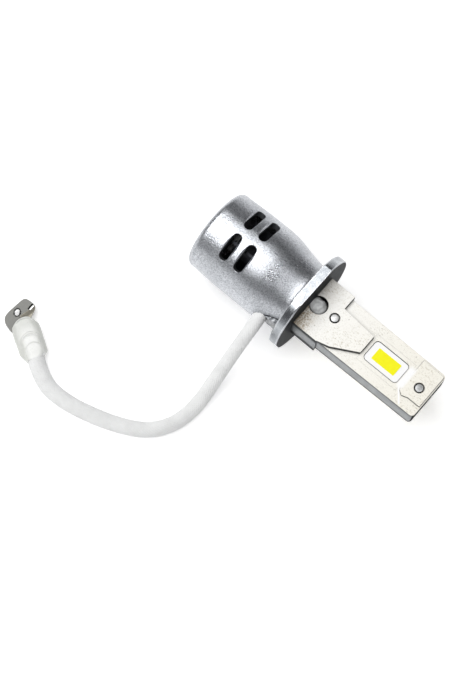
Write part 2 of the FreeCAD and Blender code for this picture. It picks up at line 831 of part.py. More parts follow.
def make_grommet():
    """Soft plug that fills the neck's notch round the lead."""
    half = D.notch_height / 2 - D.small_gap
    plug = block(-D.notch_x + D.overlap, -D.spigot_depth - D.flange_thickness - D.small_gap,
                 -D.exit_y, -D.grommet_floor, -half, half)
    channel = rod(-D.notch_x - D.cut_reach, 0, -D.spacer_inner, 0, D.grommet_bore)
    node(cut(plug, [channel]), "lead_grommet")


def cord_path(points):
    """Straight runs joined by tangent arcs, with each arc's radius."""
    edges = []
    radii = []
    start = points[0]
    for before, corner, after in zip(points, points[1:], points[2:]):
        towards = corner - before
        onwards = after - corner
        turn = towards.getAngle(onwards)
        setback = ARC_SHARE * min(towards.Length, onwards.Length)
        radii.append(setback / math.tan(turn / 2))
        towards = towards.normalize()
        onwards = onwards.normalize()
        enter = corner - towards * setback
        leave = corner + onwards * setback
        inward = (onwards - towards).normalize()
        bulge = radii[-1] * (1 / math.cos(turn / 2) - 1)
        edges.append(Part.LineSegment(start, enter).toShape())
        edges.append(Part.Arc(enter, corner + inward * bulge, leave).toShape())
        start = leave
    edges.append(Part.LineSegment(start, points[-1]).toShape())
    return Part.Wire(edges), radii


def make_cord():
    points = [FreeCAD.Vector(*point) for point in CORD_ROUTE]
    path, radii = cord_path(points)
    radius = DIMENSIONS["cord_diameter"] / 2
    ring = Part.Wire([Part.makeCircle(radius, points[0], points[1] - points[0])])
    solid = path.makePipeShell([ring], True, False)
    expected = math.pi * radius ** 2 * path.Length
    print("cord radii", [round(value, 1) for value in radii])
    print("cord length", round(path.Length, 1), "volume ratio", round(solid.Volume / expected, 4))
    cord = doc.addObject("Part::Feature", "Cord")
    cord.Shape = solid
    node(cord, "lead_sleeve")


def terminal_place():
    """Terminal axes: x runs out of the boot's mouth, z is up."""
    return FreeCAD.Placement(FreeCAD.Vector(*BOOT_CENTRE),
                             FreeCAD.Rotation(FreeCAD.Vector(0, 0, 1), BOOT_ANGLE))


def make_boot():
    """Flattened sleeve with a curved mouth; its hollow holds the crimp and the tab's neck."""
    place = terminal_place()
    half_length = D.boot_length / 2
    half_width = D.boot_width / 2
    half_height = D.boot_thickness / 2
    body = new_body("boot")
    add_pad(body, -half_height, D.boot_thickness,
            [(-half_length, D.heel_rise - half_width), (-half_length, half_width - D.heel_rise),
             (D.heel_far - half_length, half_width), (half_length - D.mouth_far, half_width),
             (half_length - D.mouth_far_step, half_width - D.mouth_far_rise), (half_length, 0),
             (half_length - D.mouth_near_step, D.mouth_near_rise - half_width),
             (half_length - D.mouth_near, -half_width), (D.heel_near - half_length, -half_width)])
    side = half_height.value

    def is_long_edge(edge):
        box = edge.BoundBox
        on_face = box.ZLength < TINY and abs(abs(box.ZMax) - side) < TINY
        return on_face and abs(box.XMin) < BOOT_MOUTH

    round_edges(body, D.boot_rounding, is_long_edge)
    wall = D.boot_wall
    inner = half_height - wall
    hollow = block(D.boot_back - half_length, half_length + D.cut_reach, wall - half_width,
                   half_width - wall, -inner, inner)
    node(cut(body, [hollow]), "terminal_boot", place)


def make_tab():
    """Flat tab with a hole, set askew in the boot, and the crimp barrel behind it."""
    place = terminal_place()
    half = D.tab_thickness / 2
    body = new_body("tab")
    add_pad(body, -half, D.tab_thickness, TAB_OUTLINE)

    def is_head_corner(edge):
        box = edge.BoundBox
        upright = box.XLength < TINY and box.YLength < TINY
        return upright and any(abs(box.XMax - x) < 2 * TINY for x in TAB_ROUNDED)

    round_edges(body, D.tab_corner, is_head_corner)
    add_pocket(body, half, D.tab_thickness, circles=[(*TAB_HOLE, D.tab_hole)])
    add_pocket(body, half, D.tab_thickness, TAB_SLIT)
    node(body, "terminal_tab", place)
    reach = D.crimp_radius + D.cut_reach
    beyond = D.crimp_front + D.cut_reach
    barrel = cut(rod(-D.crimp_rear, D.crimp_front, 0, 0, D.crimp_radius),
                 [block(-D.crimp_slot, beyond, -reach, reach, half, reach),
                  block(-D.crimp_slot, beyond, -reach, reach, -reach, -half),
                  block(D.crimp_notch, beyond, -reach, reach, -D.cut_reach, D.cut_reach)])
    node(barrel, "terminal_crimp", place)


# ---- the whole bulb ----------------------------------------------------------------------------

def check_document():
    """Stop on any failed object, or on a sub-part without one valid shape."""
    for item in doc.Objects:
        if "Invalid" in item.State or "Error" in item.State:
            raise RuntimeError("{} ({}) failed: {}".format(item.Name, item.Label, item.State))
    for item in nodes:
        if item.Shape.isNull() or not item.Shape.isValid() or item.Shape.Volume <= 0:
            raise RuntimeError("{} has no valid shape".format(item.Label))


def write_parts():
    os.makedirs("parts", exist_ok=True)
    for item in nodes:
        item.Shape.exportStep("parts/{}.step".format(item.Label))
        print("{:22s} {:2d} solids {:10.3f} mm3".format(
            item.Label, len(item.Shape.Solids), item.Shape.Volume))


fill_sheet()
make_flange()
make_housing()
make_blade()
make_rivet(D.base_rivet_x, D.base_face, "base_rivet")
make_rivet(D.tip_rivet_x, D.blade_face + D.pad_rise, "tip_rivet")
make_light("front", None)
make_light("rear", HALF_TURN)
make_posts()
make_driver()
make_heat_sink()
make_fan_frame()
make_stator()
make_rotor()
make_fan_leads()
make_grommet()
make_cord()
make_boot()
make_tab()
doc.recompute()
check_document()
write_parts()
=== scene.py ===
import json
import random
from math import atan, copysign, cos, exp, hypot, pi, radians, sin, sqrt

import bmesh
import bpy
from mathutils import Matrix, Quaternion, Vector, noise


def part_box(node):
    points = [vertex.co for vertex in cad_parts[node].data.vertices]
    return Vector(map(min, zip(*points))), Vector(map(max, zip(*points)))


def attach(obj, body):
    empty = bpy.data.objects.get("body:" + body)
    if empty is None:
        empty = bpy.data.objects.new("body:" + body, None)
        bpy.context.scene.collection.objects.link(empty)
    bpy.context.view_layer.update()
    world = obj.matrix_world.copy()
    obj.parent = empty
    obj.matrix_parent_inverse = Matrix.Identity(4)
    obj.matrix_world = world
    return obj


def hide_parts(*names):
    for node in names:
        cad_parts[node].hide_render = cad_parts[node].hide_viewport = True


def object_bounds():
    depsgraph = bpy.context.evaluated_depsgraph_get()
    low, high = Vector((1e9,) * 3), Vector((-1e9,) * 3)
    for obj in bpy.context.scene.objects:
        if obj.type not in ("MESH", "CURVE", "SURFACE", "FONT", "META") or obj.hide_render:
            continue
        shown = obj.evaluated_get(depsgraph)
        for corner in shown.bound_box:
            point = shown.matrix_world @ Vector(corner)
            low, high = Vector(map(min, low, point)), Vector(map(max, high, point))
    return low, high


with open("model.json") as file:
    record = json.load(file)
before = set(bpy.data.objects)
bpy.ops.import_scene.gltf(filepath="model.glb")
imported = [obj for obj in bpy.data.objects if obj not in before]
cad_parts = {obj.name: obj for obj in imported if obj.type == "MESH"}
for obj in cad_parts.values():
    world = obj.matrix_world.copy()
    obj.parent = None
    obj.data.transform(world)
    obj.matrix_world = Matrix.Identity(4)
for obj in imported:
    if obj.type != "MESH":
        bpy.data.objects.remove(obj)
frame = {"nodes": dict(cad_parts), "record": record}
cad_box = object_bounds()
nodes = frame["nodes"]

MM = 0.001
BULB = "bulb"
ROTOR = "fan_rotor"

# The bulb's axis is parallel to X. Stations are measured from the flange's front face.
FACE_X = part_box("base_flange")[1].x
AXIS_Z = (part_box("fan_housing")[0].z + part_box("fan_housing")[1].z) / 2
BLADE_LENGTH = (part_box("blade_body")[1].x - FACE_X) / MM


def at(station, across, up):
    """A point in the row frame from millimetres along, across and above the bulb's axis."""
    return Vector((FACE_X + station * MM, across * MM, AXIS_Z + up * MM))


def new_object(name, data):
    thing = bpy.data.objects.new(name, data)
    bpy.context.scene.collection.objects.link(thing)
    return thing


def around(station, radius, angle):
    """A point in the row frame at a radius and an angle round the bulb's axis, 0 being upwards."""
    return at(station, radius * sin(angle), radius * cos(angle))


# ---- camera ----

CAMERA_AZIMUTH = 31.8
CAMERA_ELEVATION = 72.4
CAMERA_ROLL = 9.0
CAMERA_DISTANCE = 0.3368
CAMERA_LENS = 88.68
CAMERA_SENSOR = 36.0
AIM_FROM_CENTRE = Vector((0.0026, 0.0004, 0.0006))


def make_camera():
    azimuth, elevation = radians(CAMERA_AZIMUTH), radians(CAMERA_ELEVATION)
    back = Vector((sin(azimuth) * cos(elevation),
                   -cos(azimuth) * cos(elevation), sin(elevation)))
    level = Vector((cos(azimuth), sin(azimuth), 0))
    right = Quaternion(back, radians(CAMERA_ROLL)) @ level
    up = back.cross(right)
    aim = (cad_box[0] + cad_box[1]) / 2 + AIM_FROM_CENTRE
    data = bpy.data.cameras.new("camera")
    data.lens = CAMERA_LENS
    data.sensor_width = CAMERA_SENSOR
    data.clip_start = 0.01
    data.clip_end = 20
    camera = new_object("camera", data)
    turn = Matrix((right, up, back)).transposed().to_4x4()
    camera.matrix_world = Matrix.Translation(aim + back * CAMERA_DISTANCE) @ turn
    bpy.context.scene.camera = camera


make_camera()


# ---- shader helpers ----

def grey(value):
    return (value, value, value)


def scaled(colour, factor, lift=0.0):
    """A colour made darker or brighter."""
    return tuple(min(1.0, value * factor + lift) for value in colour)


class Paint:
    """A material's node tree with short calls for the nodes that the finishes use."""

    def __init__(self, name):
        self.material = bpy.data.materials.new(name)
        self.material.use_nodes = True
        self.tree = self.material.node_tree
        self.shader = self.tree.nodes["Principled BSDF"]
        self.place = self.add("ShaderNodeTexCoord").outputs["Object"]

    def add(self, kind, **settings):
        node = self.tree.nodes.new(kind)
        for key, value in settings.items():
            setattr(node, key, value)
        return node

    def feed(self, socket, value):
        if isinstance(value, bpy.types.NodeSocket):
            self.tree.links.new(value, socket)
        else:
            socket.default_value = (*value, 1.0) if socket.type == "RGBA" else value

    def noise(self, size_mm, detail=3.0, roughness=0.55, stretch=(1, 1, 1)):
        """Noise whose grains are about size_mm across."""
        mapped = self.add("ShaderNodeMapping")
        self.feed(mapped.inputs["Vector"], self.place)
        mapped.inputs["Scale"].default_value = stretch
        node = self.add("ShaderNodeTexNoise")
        self.feed(node.inputs["Vector"], mapped.outputs[0])
        node.inputs["Scale"].default_value = 1 / (size_mm * MM)
        node.inputs["Detail"].default_value = detail
        node.inputs["Roughness"].default_value = roughness
        return node.outputs["Fac"]

    def cell_edges(self, size_mm):
        """Distance from the border between cells that are about size_mm across."""
        node = self.add("ShaderNodeTexVoronoi", feature="DISTANCE_TO_EDGE")
        self.feed(node.inputs["Vector"], self.place)
        node.inputs["Scale"].default_value = 1 / (size_mm * MM)
        return node.outputs["Distance"]

    def split(self):
        """The point's X, Y and Z, in metres."""
        parts = self.add("ShaderNodeSeparateXYZ")
        self.feed(parts.inputs[0], self.place)
        return tuple(parts.outputs)

    def rescale(self, value, low, high, to_low=0.0, to_high=1.0):
        node = self.add("ShaderNodeMapRange")
        for socket, amount in zip(node.inputs, (value, low, high, to_low, to_high)):
            self.feed(socket, amount)
        return node.outputs[0]

    def vary(self, grain, low, high):
        """A value between low and high that follows a noise."""
        return self.rescale(grain, 0.3, 0.7, low, high)

    def calc(self, operation, first, second=0.0):
        node = self.add("ShaderNodeMath", operation=operation)
        self.feed(node.inputs[0], first)
        self.feed(node.inputs[1], second)
        return node.outputs[0]

    def times(self, first, second):
        return self.calc("MULTIPLY", first, second)

    def blend(self, amount, first, second):
        node = self.add("ShaderNodeMix", data_type="RGBA")
        self.feed(node.inputs[0], amount)
        self.feed(node.inputs[6], first)
        self.feed(node.inputs[7], second)
        return node.outputs[2]

    def cover(self, base, mask, colour, amount=1.0):
        """The base with a colour laid over it where the mask is 1, as thickly as amount says."""
        return self.blend(self.times(mask, amount), base, colour)

    def bump(self, height, depth_mm, under=None):
        node = self.add("ShaderNodeBump")
        node.inputs["Strength"].default_value = 1.0
        node.inputs["Distance"].default_value = depth_mm * MM
        self.feed(node.inputs["Height"], height)
        if under:
            self.feed(node.inputs["Normal"], under)
        return node.outputs[0]

    def finish(self, base, rough, relief, metal=0.0, **more):
        """The material, from its colour, its roughness (noise, low, high) or one value, its relief
        (height, depth in mm) and what else the shader takes; an underscore stands for a space."""
        if isinstance(rough, tuple):
            rough = self.vary(*rough)
        more.update(Base_Color=base, Roughness=rough, Normal=self.bump(*relief), Metallic=metal)
        for key, value in more.items():
            self.feed(self.shader.inputs[key.replace("_", " ")], value)
        return self.material

    def axis_radius(self):
        """Distance from the bulb's axis, in metres."""
        _, across, height = self.split()
        up = self.calc("SUBTRACT", height, AXIS_Z)
        squares = self.calc("ADD", self.calc("POWER", across, 2.0), self.calc("POWER", up, 2.0))
        return self.calc("SQRT", squares)

    def stroke(self, start, end, half_mm):
        """1 within half_mm of a straight line seen from above, fading out; local millimetres."""
        begin, run = at(*start, 0), at(*end, 0) - at(*start, 0)
        cosine, sine = run.x / run.length, run.y / run.length
        x, y, _ = self.split()
        ahead = self.calc("SUBTRACT", x, begin.x)
        aside = self.calc("SUBTRACT", y, begin.y)
        along = self.calc("ADD", self.times(ahead, cosine), self.times(aside, sine))
        off = self.calc("SUBTRACT", self.times(aside, cosine), self.times(ahead, sine))
        half_run, reach = run.length / 2, half_mm * MM
        past = self.calc("ABSOLUTE", self.calc("SUBTRACT", along, half_run))
        return self.times(self.rescale(past, half_run + reach, half_run),
                          self.rescale(self.calc("ABSOLUTE", off), reach, reach * 0.45))

    def edge_wear_and_shade(self, radius_mm):
        """1 on a convex edge of the mesh and 0 on flat faces: it marks worn edges, and painted shade
        along the coating's edges.
        """
        bevel = self.add("ShaderNodeBevel", samples=4)
        bevel.inputs["Radius"].default_value = radius_mm * MM
        plain = self.add("ShaderNodeNewGeometry")
        dot = self.add("ShaderNodeVectorMath", operation="DOT_PRODUCT")
        self.feed(dot.inputs[0], bevel.outputs[0])
        self.feed(dot.inputs[1], plain.outputs["Normal"])
        return self.rescale(dot.outputs["Value"], 0.995, 0.9)

    def occlusion_shade(self, reach_mm):
        """A mask for painted shade: 1 in a tight corner, groove or seam of the mesh, where ambient
        occlusion finds shade, and 0 in the open.
        """
        node = self.add("ShaderNodeAmbientOcclusion", samples=12)
        node.inputs["Distance"].default_value = reach_mm * MM
        return self.rescale(node.outputs["AO"], 0.78, 0.30)


# ---- finishes ----

# Start, end and half-width, from above, of the painted highlights on the blade's coating: a white
# band beside the light package and a white line from its corner to the blade's edge
PAINTED_HIGHLIGHT_BAND = ((23.68, 2.0), (23.68, -1.9), 0.95)
PAINTED_HIGHLIGHT_LINE = ((23.5, -2.2), (25.75, -4.95), 0.24)
# The crimp that whitens the boot over it
PACKED_STROKE = ((-35.5, -41.9), (-39.9, -39.3), 2.1)


def blasted_metal(name, colour, shade, rough, grain_mm, depth_mm):
    """Fine-blasted silver: a light and dark grain, slow changes of shade and painted shade in
    corners.
    """
    p = Paint(name)
    grain = p.noise(grain_mm, detail=0.0)
    coarse = p.noise(grain_mm * 2.3, detail=0.0, stretch=(1.05, 0.97, 1.02))
    cloud = p.noise(4.5)
    speckle = p.calc("ADD", p.times(grain, 0.75), p.times(coarse, 0.25))
    base = p.blend(p.rescale(speckle, 0.34, 0.60), shade, colour)
    base = p.cover(base, p.rescale(cloud, 0.45, 0.75), shade, 0.25)
    # Painted shade darkens the corners.
    base = p.cover(base, p.occlusion_shade(0.7), (0.05, 0.053, 0.06), 0.75)
    return p.finish(base, (cloud, rough - 0.03, rough + 0.04), (grain, depth_mm), 1.0)


def rim_metal(name, colour, shade, rough):
    """The flange's ground rim: faint scuffs across it, tarnish in patches, bright worn edges and
    painted shade in corners.
    """
    p = Paint(name)
    scuffs = p.noise(0.16, detail=2.0, stretch=(1, 0.25, 0.25))
    base = p.blend(p.rescale(p.noise(1.7), 0.35, 0.68), shade, colour)
    base = p.cover(base, p.edge_wear_and_shade(0.22), (0.95, 0.96, 0.97))
    # Painted shade darkens the corners.
    base = p.cover(base, p.occlusion_shade(0.6), (0.06, 0.063, 0.07), 0.7)
    return p.finish(base, (scuffs, rough - 0.06, rough + 0.08), (scuffs, 0.008), 1.0)


def turned_metal(name, colour, shade, rough, pitch_mm, groove_mm, edge_tint):
    """Turned faces: fine concentric grooves, painted shade in corners and brighter edges."""
    p = Paint(name)
    wobble = p.times(p.noise(1.4), 0.25 * pitch_mm * MM)
    rings = p.calc("SINE", p.times(p.calc("ADD", p.axis_radius(), wobble),
                                   2 * pi / (pitch_mm * MM)))
    grain = p.noise(0.22, detail=2.0)
    base = p.blend(p.rescale(p.noise(2.5), 0.3, 0.7), shade, colour)
    base = p.cover(base, p.edge_wear_and_shade(0.12), (0.62, 0.64, 0.66))
    # Painted shade darkens the corners.
    base = p.cover(base, p.occlusion_shade(1.6), (0.012, 0.013, 0.015), 0.9)
    return p.finish(base, (grain, rough - 0.05, rough + 0.07),
                    (grain, 0.012, p.bump(rings, groove_mm)), 1.0, Specular_Tint=grey(edge_tint))


def coated_face(name):
    """The blade's ivory coating: fine specks, a scorched stain by the flange, faint strokes of
    wear, painted highlights by the light source, and painted shade along its edges and in its seams."""
    p = Paint(name)
    x, y, _ = p.split()
    along = p.rescale(x, FACE_X, FACE_X + BLADE_LENGTH * MM)
    stains_and_painted_light = p.blend(p.rescale(along, 0.15, 0.8), (0.95, 0.94, 0.90), (0.91, 0.885, 0.80))
    density = p.rescale(p.noise(3.2), 0.40, 0.66)
    specks = p.rescale(p.noise(0.21, detail=1.0, roughness=0.6), 0.56, 0.66)
    specks = p.times(specks, p.calc("ADD", p.times(density, 0.42), 0.10))
    stains_and_painted_light = p.cover(stains_and_painted_light, specks, (0.42, 0.38, 0.29))
    pores = p.rescale(p.noise(0.36, detail=2.0, roughness=0.7), 0.64, 0.70)
    stains_and_painted_light = p.cover(stains_and_painted_light, pores, (0.30, 0.27, 0.21), 0.5)

    low_side = p.rescale(y, 1.0 * MM, -5.5 * MM)
    near_flange = p.times(p.rescale(along, 0.13, 0.01),
                          p.calc("ADD", p.times(low_side, 0.8), 0.2))
    haze = p.times(near_flange, p.rescale(p.noise(1.0), 0.35, 0.65))
    stains_and_painted_light = p.cover(stains_and_painted_light, haze, (0.66, 0.53, 0.32), 0.55)
    scorch = p.calc("ADD", p.noise(0.20, detail=2.0), p.times(near_flange, 0.30))
    scorch = p.times(p.rescale(scorch, 0.60, 0.78), p.rescale(near_flange, 0.0, 0.3))
    stains_and_painted_light = p.cover(stains_and_painted_light, scorch, (0.30, 0.21, 0.10), 0.8)

    strokes = p.rescale(p.noise(0.24, detail=1.0, stretch=(0.4, 1.0, 1.0)), 0.58, 0.68)
    band = p.rescale(p.noise(2.6, detail=2.0, stretch=(0.35, 1.0, 1.0)), 0.46, 0.62)
    stains_and_painted_light = p.cover(stains_and_painted_light, p.times(strokes, band), (0.50, 0.45, 0.33), 0.55)

    # Painted highlights: a white band beside the light package and a white line down to the blade's
    # edge.
    white = p.calc("MAXIMUM", p.stroke(*PAINTED_HIGHLIGHT_BAND), p.stroke(*PAINTED_HIGHLIGHT_LINE))
    stains_and_painted_light = p.cover(stains_and_painted_light, white, (1.0, 1.0, 0.995))
    # Painted shade darkens the coating's edges, except under the painted highlights.
    edge_shade = p.times(p.edge_wear_and_shade(0.15), p.calc("SUBTRACT", 0.6, white))
    stains_and_painted_light = p.cover(stains_and_painted_light, p.calc("MAXIMUM", edge_shade, 0.0), (0.14, 0.14, 0.135))
    # Painted shade darkens the seams and steps, except under the painted highlights.
    seam = p.times(p.occlusion_shade(0.34), p.calc("SUBTRACT", 1.0, white))
    stains_and_painted_light = p.cover(stains_and_painted_light, seam, grey(0.02))
    grain = p.noise(0.16, detail=2.0)
    return p.finish(stains_and_painted_light, (grain, 0.42, 0.56), (grain, 0.02), 0.15)


def satin_side(name, colour, shade, edge_tint):
    """Bare satin aluminium of the blade's cut edges: fine lines along it, painted shade that
    darkens it towards the faces, and painted shade in the seam."""
    p = Paint(name)
    lines = p.noise(0.12, stretch=(0.04, 1, 1))
    base = p.blend(p.rescale(p.noise(1.6), 0.3, 0.7), shade, colour)
    base = p.cover(base, p.edge_wear_and_shade(0.1), (0.80, 0.81, 0.82), 0.6)
    # Painted shade: darker towards both faces, darkest at the edges.
    from_middle = p.calc("ABSOLUTE", p.calc("SUBTRACT", p.split()[2], AXIS_Z))
    face_shade = p.calc("ADD", p.rescale(from_middle, 1.0 * MM, 1.9 * MM, 0.0, 0.35),
                   p.rescale(from_middle, 1.7 * MM, 1.95 * MM, 0.0, 0.60))
    base = p.blend(face_shade, base, scaled(shade, 0.22))
    # Painted shade in the seam.
    base = p.cover(base, p.occlusion_shade(0.5), (0.02, 0.021, 0.023), 0.85)
    return p.finish(base, (lines, 0.30, 0.44), (lines, 0.012), 1.0, Specular_Tint=grey(edge_tint))


def plain_metal(name, colour, shade, rough, grain_mm=0.15, depth_mm=0.01, corner_shade=0.7, metal=1.0):
    """Small metal parts: brushed or cast, with tarnish in patches, bright edges and painted shade in
    corners.
    """
    p = Paint(name)
    cloud = p.noise(1.2, detail=4.0)
    base = p.blend(p.rescale(cloud, 0.35, 0.65), shade, colour)
    base = p.cover(base, p.edge_wear_and_shade(0.1), scaled(colour, 1.25))
    # Painted shade darkens the corners.
    base = p.cover(base, p.occlusion_shade(0.45), scaled(colour, 0.06), corner_shade)
    return p.finish(base, (cloud, rough - 0.05, rough + 0.08), (p.noise(grain_mm), depth_mm), metal)


def moulded(name, colour, shade, rough, grain_mm=0.2, depth_mm=0.008):
    """Moulded plastic or rubber with a fine skin texture, dust in patches and paler edges."""
    p = Paint(name)
    grain = p.noise(grain_mm, detail=2.0)
    base = p.blend(p.rescale(p.noise(2.2, detail=4.0), 0.35, 0.65), shade, colour)
    base = p.cover(base, p.edge_wear_and_shade(0.12), scaled(colour, 1.3, 0.02))
    return p.finish(base, (grain, rough - 0.06, rough + 0.08), (grain, depth_mm))


def led_face(name):
    """Glossy white resin of the light source, with painted shade along its edges."""
    p = Paint(name)
    grain = p.noise(0.3, detail=2.0)
    base = p.blend(p.noise(1.5), (0.96, 0.96, 0.955), grey(1.0))
    # Painted shade along the edges.
    base = p.cover(base, p.occlusion_shade(0.2), (0.20, 0.20, 0.195), 0.75)
    return p.finish(base, (grain, 0.34, 0.46), (grain, 0.004))


def phosphor_face(name):
    """Yellow phosphor in silicone: a fine powder grain under a soft skin."""
    p = Paint(name)
    grain = p.noise(0.09, detail=2.0)
    mottle = p.rescale(p.calc("ADD", grain, p.noise(0.9)), 0.7, 1.3)
    base = p.blend(mottle, (0.98, 0.90, 0.006), (1.0, 0.99, 0.014))
    return p.finish(base, (grain, 0.42, 0.58), (grain, 0.006), Subsurface_Weight=0.15,
                    Subsurface_Radius=(0.4 * MM, 0.3 * MM, 0.05 * MM), Specular_IOR_Level=0.15)


def circuit_board(name, mask, track):
    """Solder mask over tracks that show as faint raised lines."""
    p = Paint(name)
    tracks = p.rescale(p.cell_edges(1.1), 0.12, 0.06)
    return p.finish(p.blend(tracks, mask, track), (p.noise(0.15), 0.3, 0.45), (tracks, 0.03))


def fibre_yarn(name):
    """Bleached glass-fibre yarn: matt white with fine filaments and painted shade between the yarns.
    """
    p = Paint(name)
    fibres = p.noise(0.07)
    base = p.blend(p.rescale(p.noise(2.4), 0.35, 0.7), (0.83, 0.835, 0.83),
                   (0.76, 0.765, 0.76))
    # Painted shade between the yarns.
    base = p.cover(base, p.occlusion_shade(0.3), (0.48, 0.48, 0.47), 0.22)
    return p.finish(base, (fibres, 0.62, 0.8), (fibres, 0.012), Sheen_Weight=0.2)


def silicone(name, colour, shade):
    """Milky silicone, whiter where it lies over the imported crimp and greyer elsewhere."""
    p = Paint(name)
    grain = p.noise(0.35, detail=2.0)
    base = p.blend(p.rescale(p.noise(1.6), 0.35, 0.65), shade, colour)
    thin = p.blend(0.5, base, (0.46, 0.475, 0.43))
    return p.finish(p.blend(p.stroke(*PACKED_STROKE), thin, base), (grain, 0.26, 0.32),
                    (grain, 0.002), Subsurface_Weight=0.12, Coat_Weight=0.4, Coat_Roughness=0.22,
                    Subsurface_Radius=(0.4 * MM, 0.4 * MM, 0.35 * MM))


# Main tone, tone of the tarnish and roughness, then where they differ from plain_metal's own:
# grain and depth in millimetres, painted shade in corners and metalness
METALS = {
    "copper": ((0.85, 0.45, 0.28), (0.55, 0.25, 0.15), 0.3),
    "rivet_steel": ((0.80, 0.81, 0.81), (0.40, 0.41, 0.41), 0.50, 0.3, 0.06, 0.5, 0.25),
    "rivet_pale": ((0.88, 0.88, 0.87), (0.60, 0.61, 0.61), 0.4, 0.3, 0.03, 0.95, 0.5),
    # The solder is nearly white and barely metallic to offset the flange's shade over it: painted
    # light.
    "solder": ((0.97, 0.98, 0.975), (0.72, 0.735, 0.73), 0.42, 0.45, 0.05, 0.7, 0.05),
    "capacitor_can": ((0.75, 0.76, 0.78), (0.6, 0.61, 0.63), 0.25),
    "sink_metal": ((0.035, 0.037, 0.042), (0.02, 0.02, 0.024), 0.45),
    "bearing_bronze": ((0.72, 0.52, 0.30), (0.5, 0.35, 0.2), 0.4),
    "ring_steel": ((0.60, 0.61, 0.63), (0.45, 0.46, 0.48), 0.28),
    "core_steel": ((0.45, 0.46, 0.47), (0.3, 0.31, 0.32), 0.4),
    "coil_copper": ((0.80, 0.38, 0.16), (0.6, 0.26, 0.1), 0.3, 0.08, 0.03),
    "magnet": ((0.22, 0.22, 0.23), (0.13, 0.13, 0.14), 0.5),
    "collar_metal": ((0.40, 0.41, 0.42), (0.10, 0.104, 0.11), 0.28, 0.35, 0.07),
    "tab_nickel": ((0.165, 0.165, 0.155), (0.125, 0.125, 0.118), 0.40, 0.3, 0.003, 0.7, 0.7),
    # Painted reflection: the folded part's lighter tan tone.
    "tab_fold_reflection": ((0.37, 0.345, 0.285), (0.27, 0.25, 0.205), 0.42, 0.2, 0.004, 0.7, 0.5),
    # Painted shade: the dark rim round the tab's hole.
    "shaded_burr": ((0.10, 0.10, 0.095), (0.04, 0.04, 0.038), 0.4),
    # Painted shade: nearly black in the slit.
    "tab_gap_shade": ((0.03, 0.03, 0.03), (0.015, 0.015, 0.015), 0.5),
    # Painted highlight: the near-white lip of the slit.
    "tab_lip_highlight": ((0.92, 0.92, 0.92), (0.80, 0.80, 0.79), 0.2, 0.2, 0.004),
}
# Main tone, tone of the dust and roughness, then grain and depth where they differ
MOULDINGS = {
    "white_board": ((0.85, 0.85, 0.84), (0.76, 0.76, 0.75), 0.45),
    "wire_jacket": ((0.55, 0.05, 0.04), (0.40, 0.03, 0.03), 0.45),
    "spacer_black": ((0.03, 0.03, 0.03), (0.02, 0.02, 0.02), 0.5),
    "ferrite": ((0.09, 0.09, 0.095), (0.05, 0.05, 0.055), 0.6, 0.12, 0.02),
    "chip_black": ((0.03, 0.03, 0.033), (0.02, 0.02, 0.022), 0.5, 0.1),
    "fan_black": ((0.028, 0.029, 0.031), (0.018, 0.018, 0.02), 0.42),
    "grommet_rubber": ((0.10, 0.10, 0.105), (0.06, 0.06, 0.062), 0.6, 0.15, 0.02),
    # Painted shade: nearly black inside the housing and on the vents' walls.
    "shaded_housing_inside": ((0.030, 0.032, 0.036), (0.015, 0.016, 0.018), 0.55),
}
# The other finishes, with what each kind takes after its name
SINGLES = {
    "housing_metal": (blasted_metal, (0.58, 0.597, 0.625), (0.30, 0.312, 0.335), 0.29, 0.19, 0.05),
    "flange_metal": (rim_metal, (0.49, 0.51, 0.53), (0.30, 0.315, 0.335), 0.22),
    # Painted shade: the flange's turned faces are dark.
    "flange_face": (turned_metal, (0.10, 0.103, 0.11), (0.06, 0.062, 0.066), 0.34, 0.3, 0.008, 0.35),
    "blade_coating": (coated_face,),
    "blade_side": (satin_side, (0.50, 0.515, 0.525), (0.38, 0.39, 0.40), 0.4),
    # Painted shade: the blade's tip end is nearly black.
    "blade_end": (satin_side, (0.06, 0.062, 0.066), (0.03, 0.031, 0.035), 0.15),
    "led_white": (led_face,),
    "phosphor": (phosphor_face,),
    "board_green": (circuit_board, (0.02, 0.13, 0.06), (0.04, 0.22, 0.10)),
    "sleeve_white": (fibre_yarn,),
    "boot_clear": (silicone, (0.82, 0.825, 0.80), (0.76, 0.765, 0.74)),
}
FINISH = {name: kind(name, *values) for name, (kind, *values) in SINGLES.items()}
FINISH.update({name: plain_metal(name, *values) for name, values in METALS.items()})
FINISH.update({name: moulded(name, *values) for name, values in MOULDINGS.items()})

SLOT_OF = {part["node"]: part["material_slot"] for part in frame["record"]["subparts"]}


# ---- mesh helpers ----

def new_piece(name, work, slot, finishes=(), body=BULB):
    """A piece that rides a body, with finishes by name: its slot's own when none is given."""
    mesh = finished_mesh(work, name)
    piece = new_object(name, mesh)
    for finish in finishes or (slot,):
        mesh.materials.append(FINISH[finish])
    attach(piece, body)
    return piece


def finished_mesh(work, name):
    mesh = bpy.data.meshes.new(name)
    work.to_mesh(mesh)
    work.free()
    return mesh


def smooth(mesh, degrees):
    """Shade a mesh smooth up to an angle between its faces."""
    mesh.polygons.foreach_set("use_smooth", [True] * len(mesh.polygons))
    mesh.set_sharp_from_angle(angle=radians(degrees))


def smooth_piece(work, name, slot, degrees, finishes=(), body=BULB):
    piece = new_piece(name, work, slot, finishes, body)
    smooth(piece.data, degrees)
    return piece


def outward(work):
    """Turn a closed mesh right side out when it is inside out."""
    if work.calc_volume(signed=True) < 0:
        bmesh.ops.reverse_faces(work, faces=work.faces)


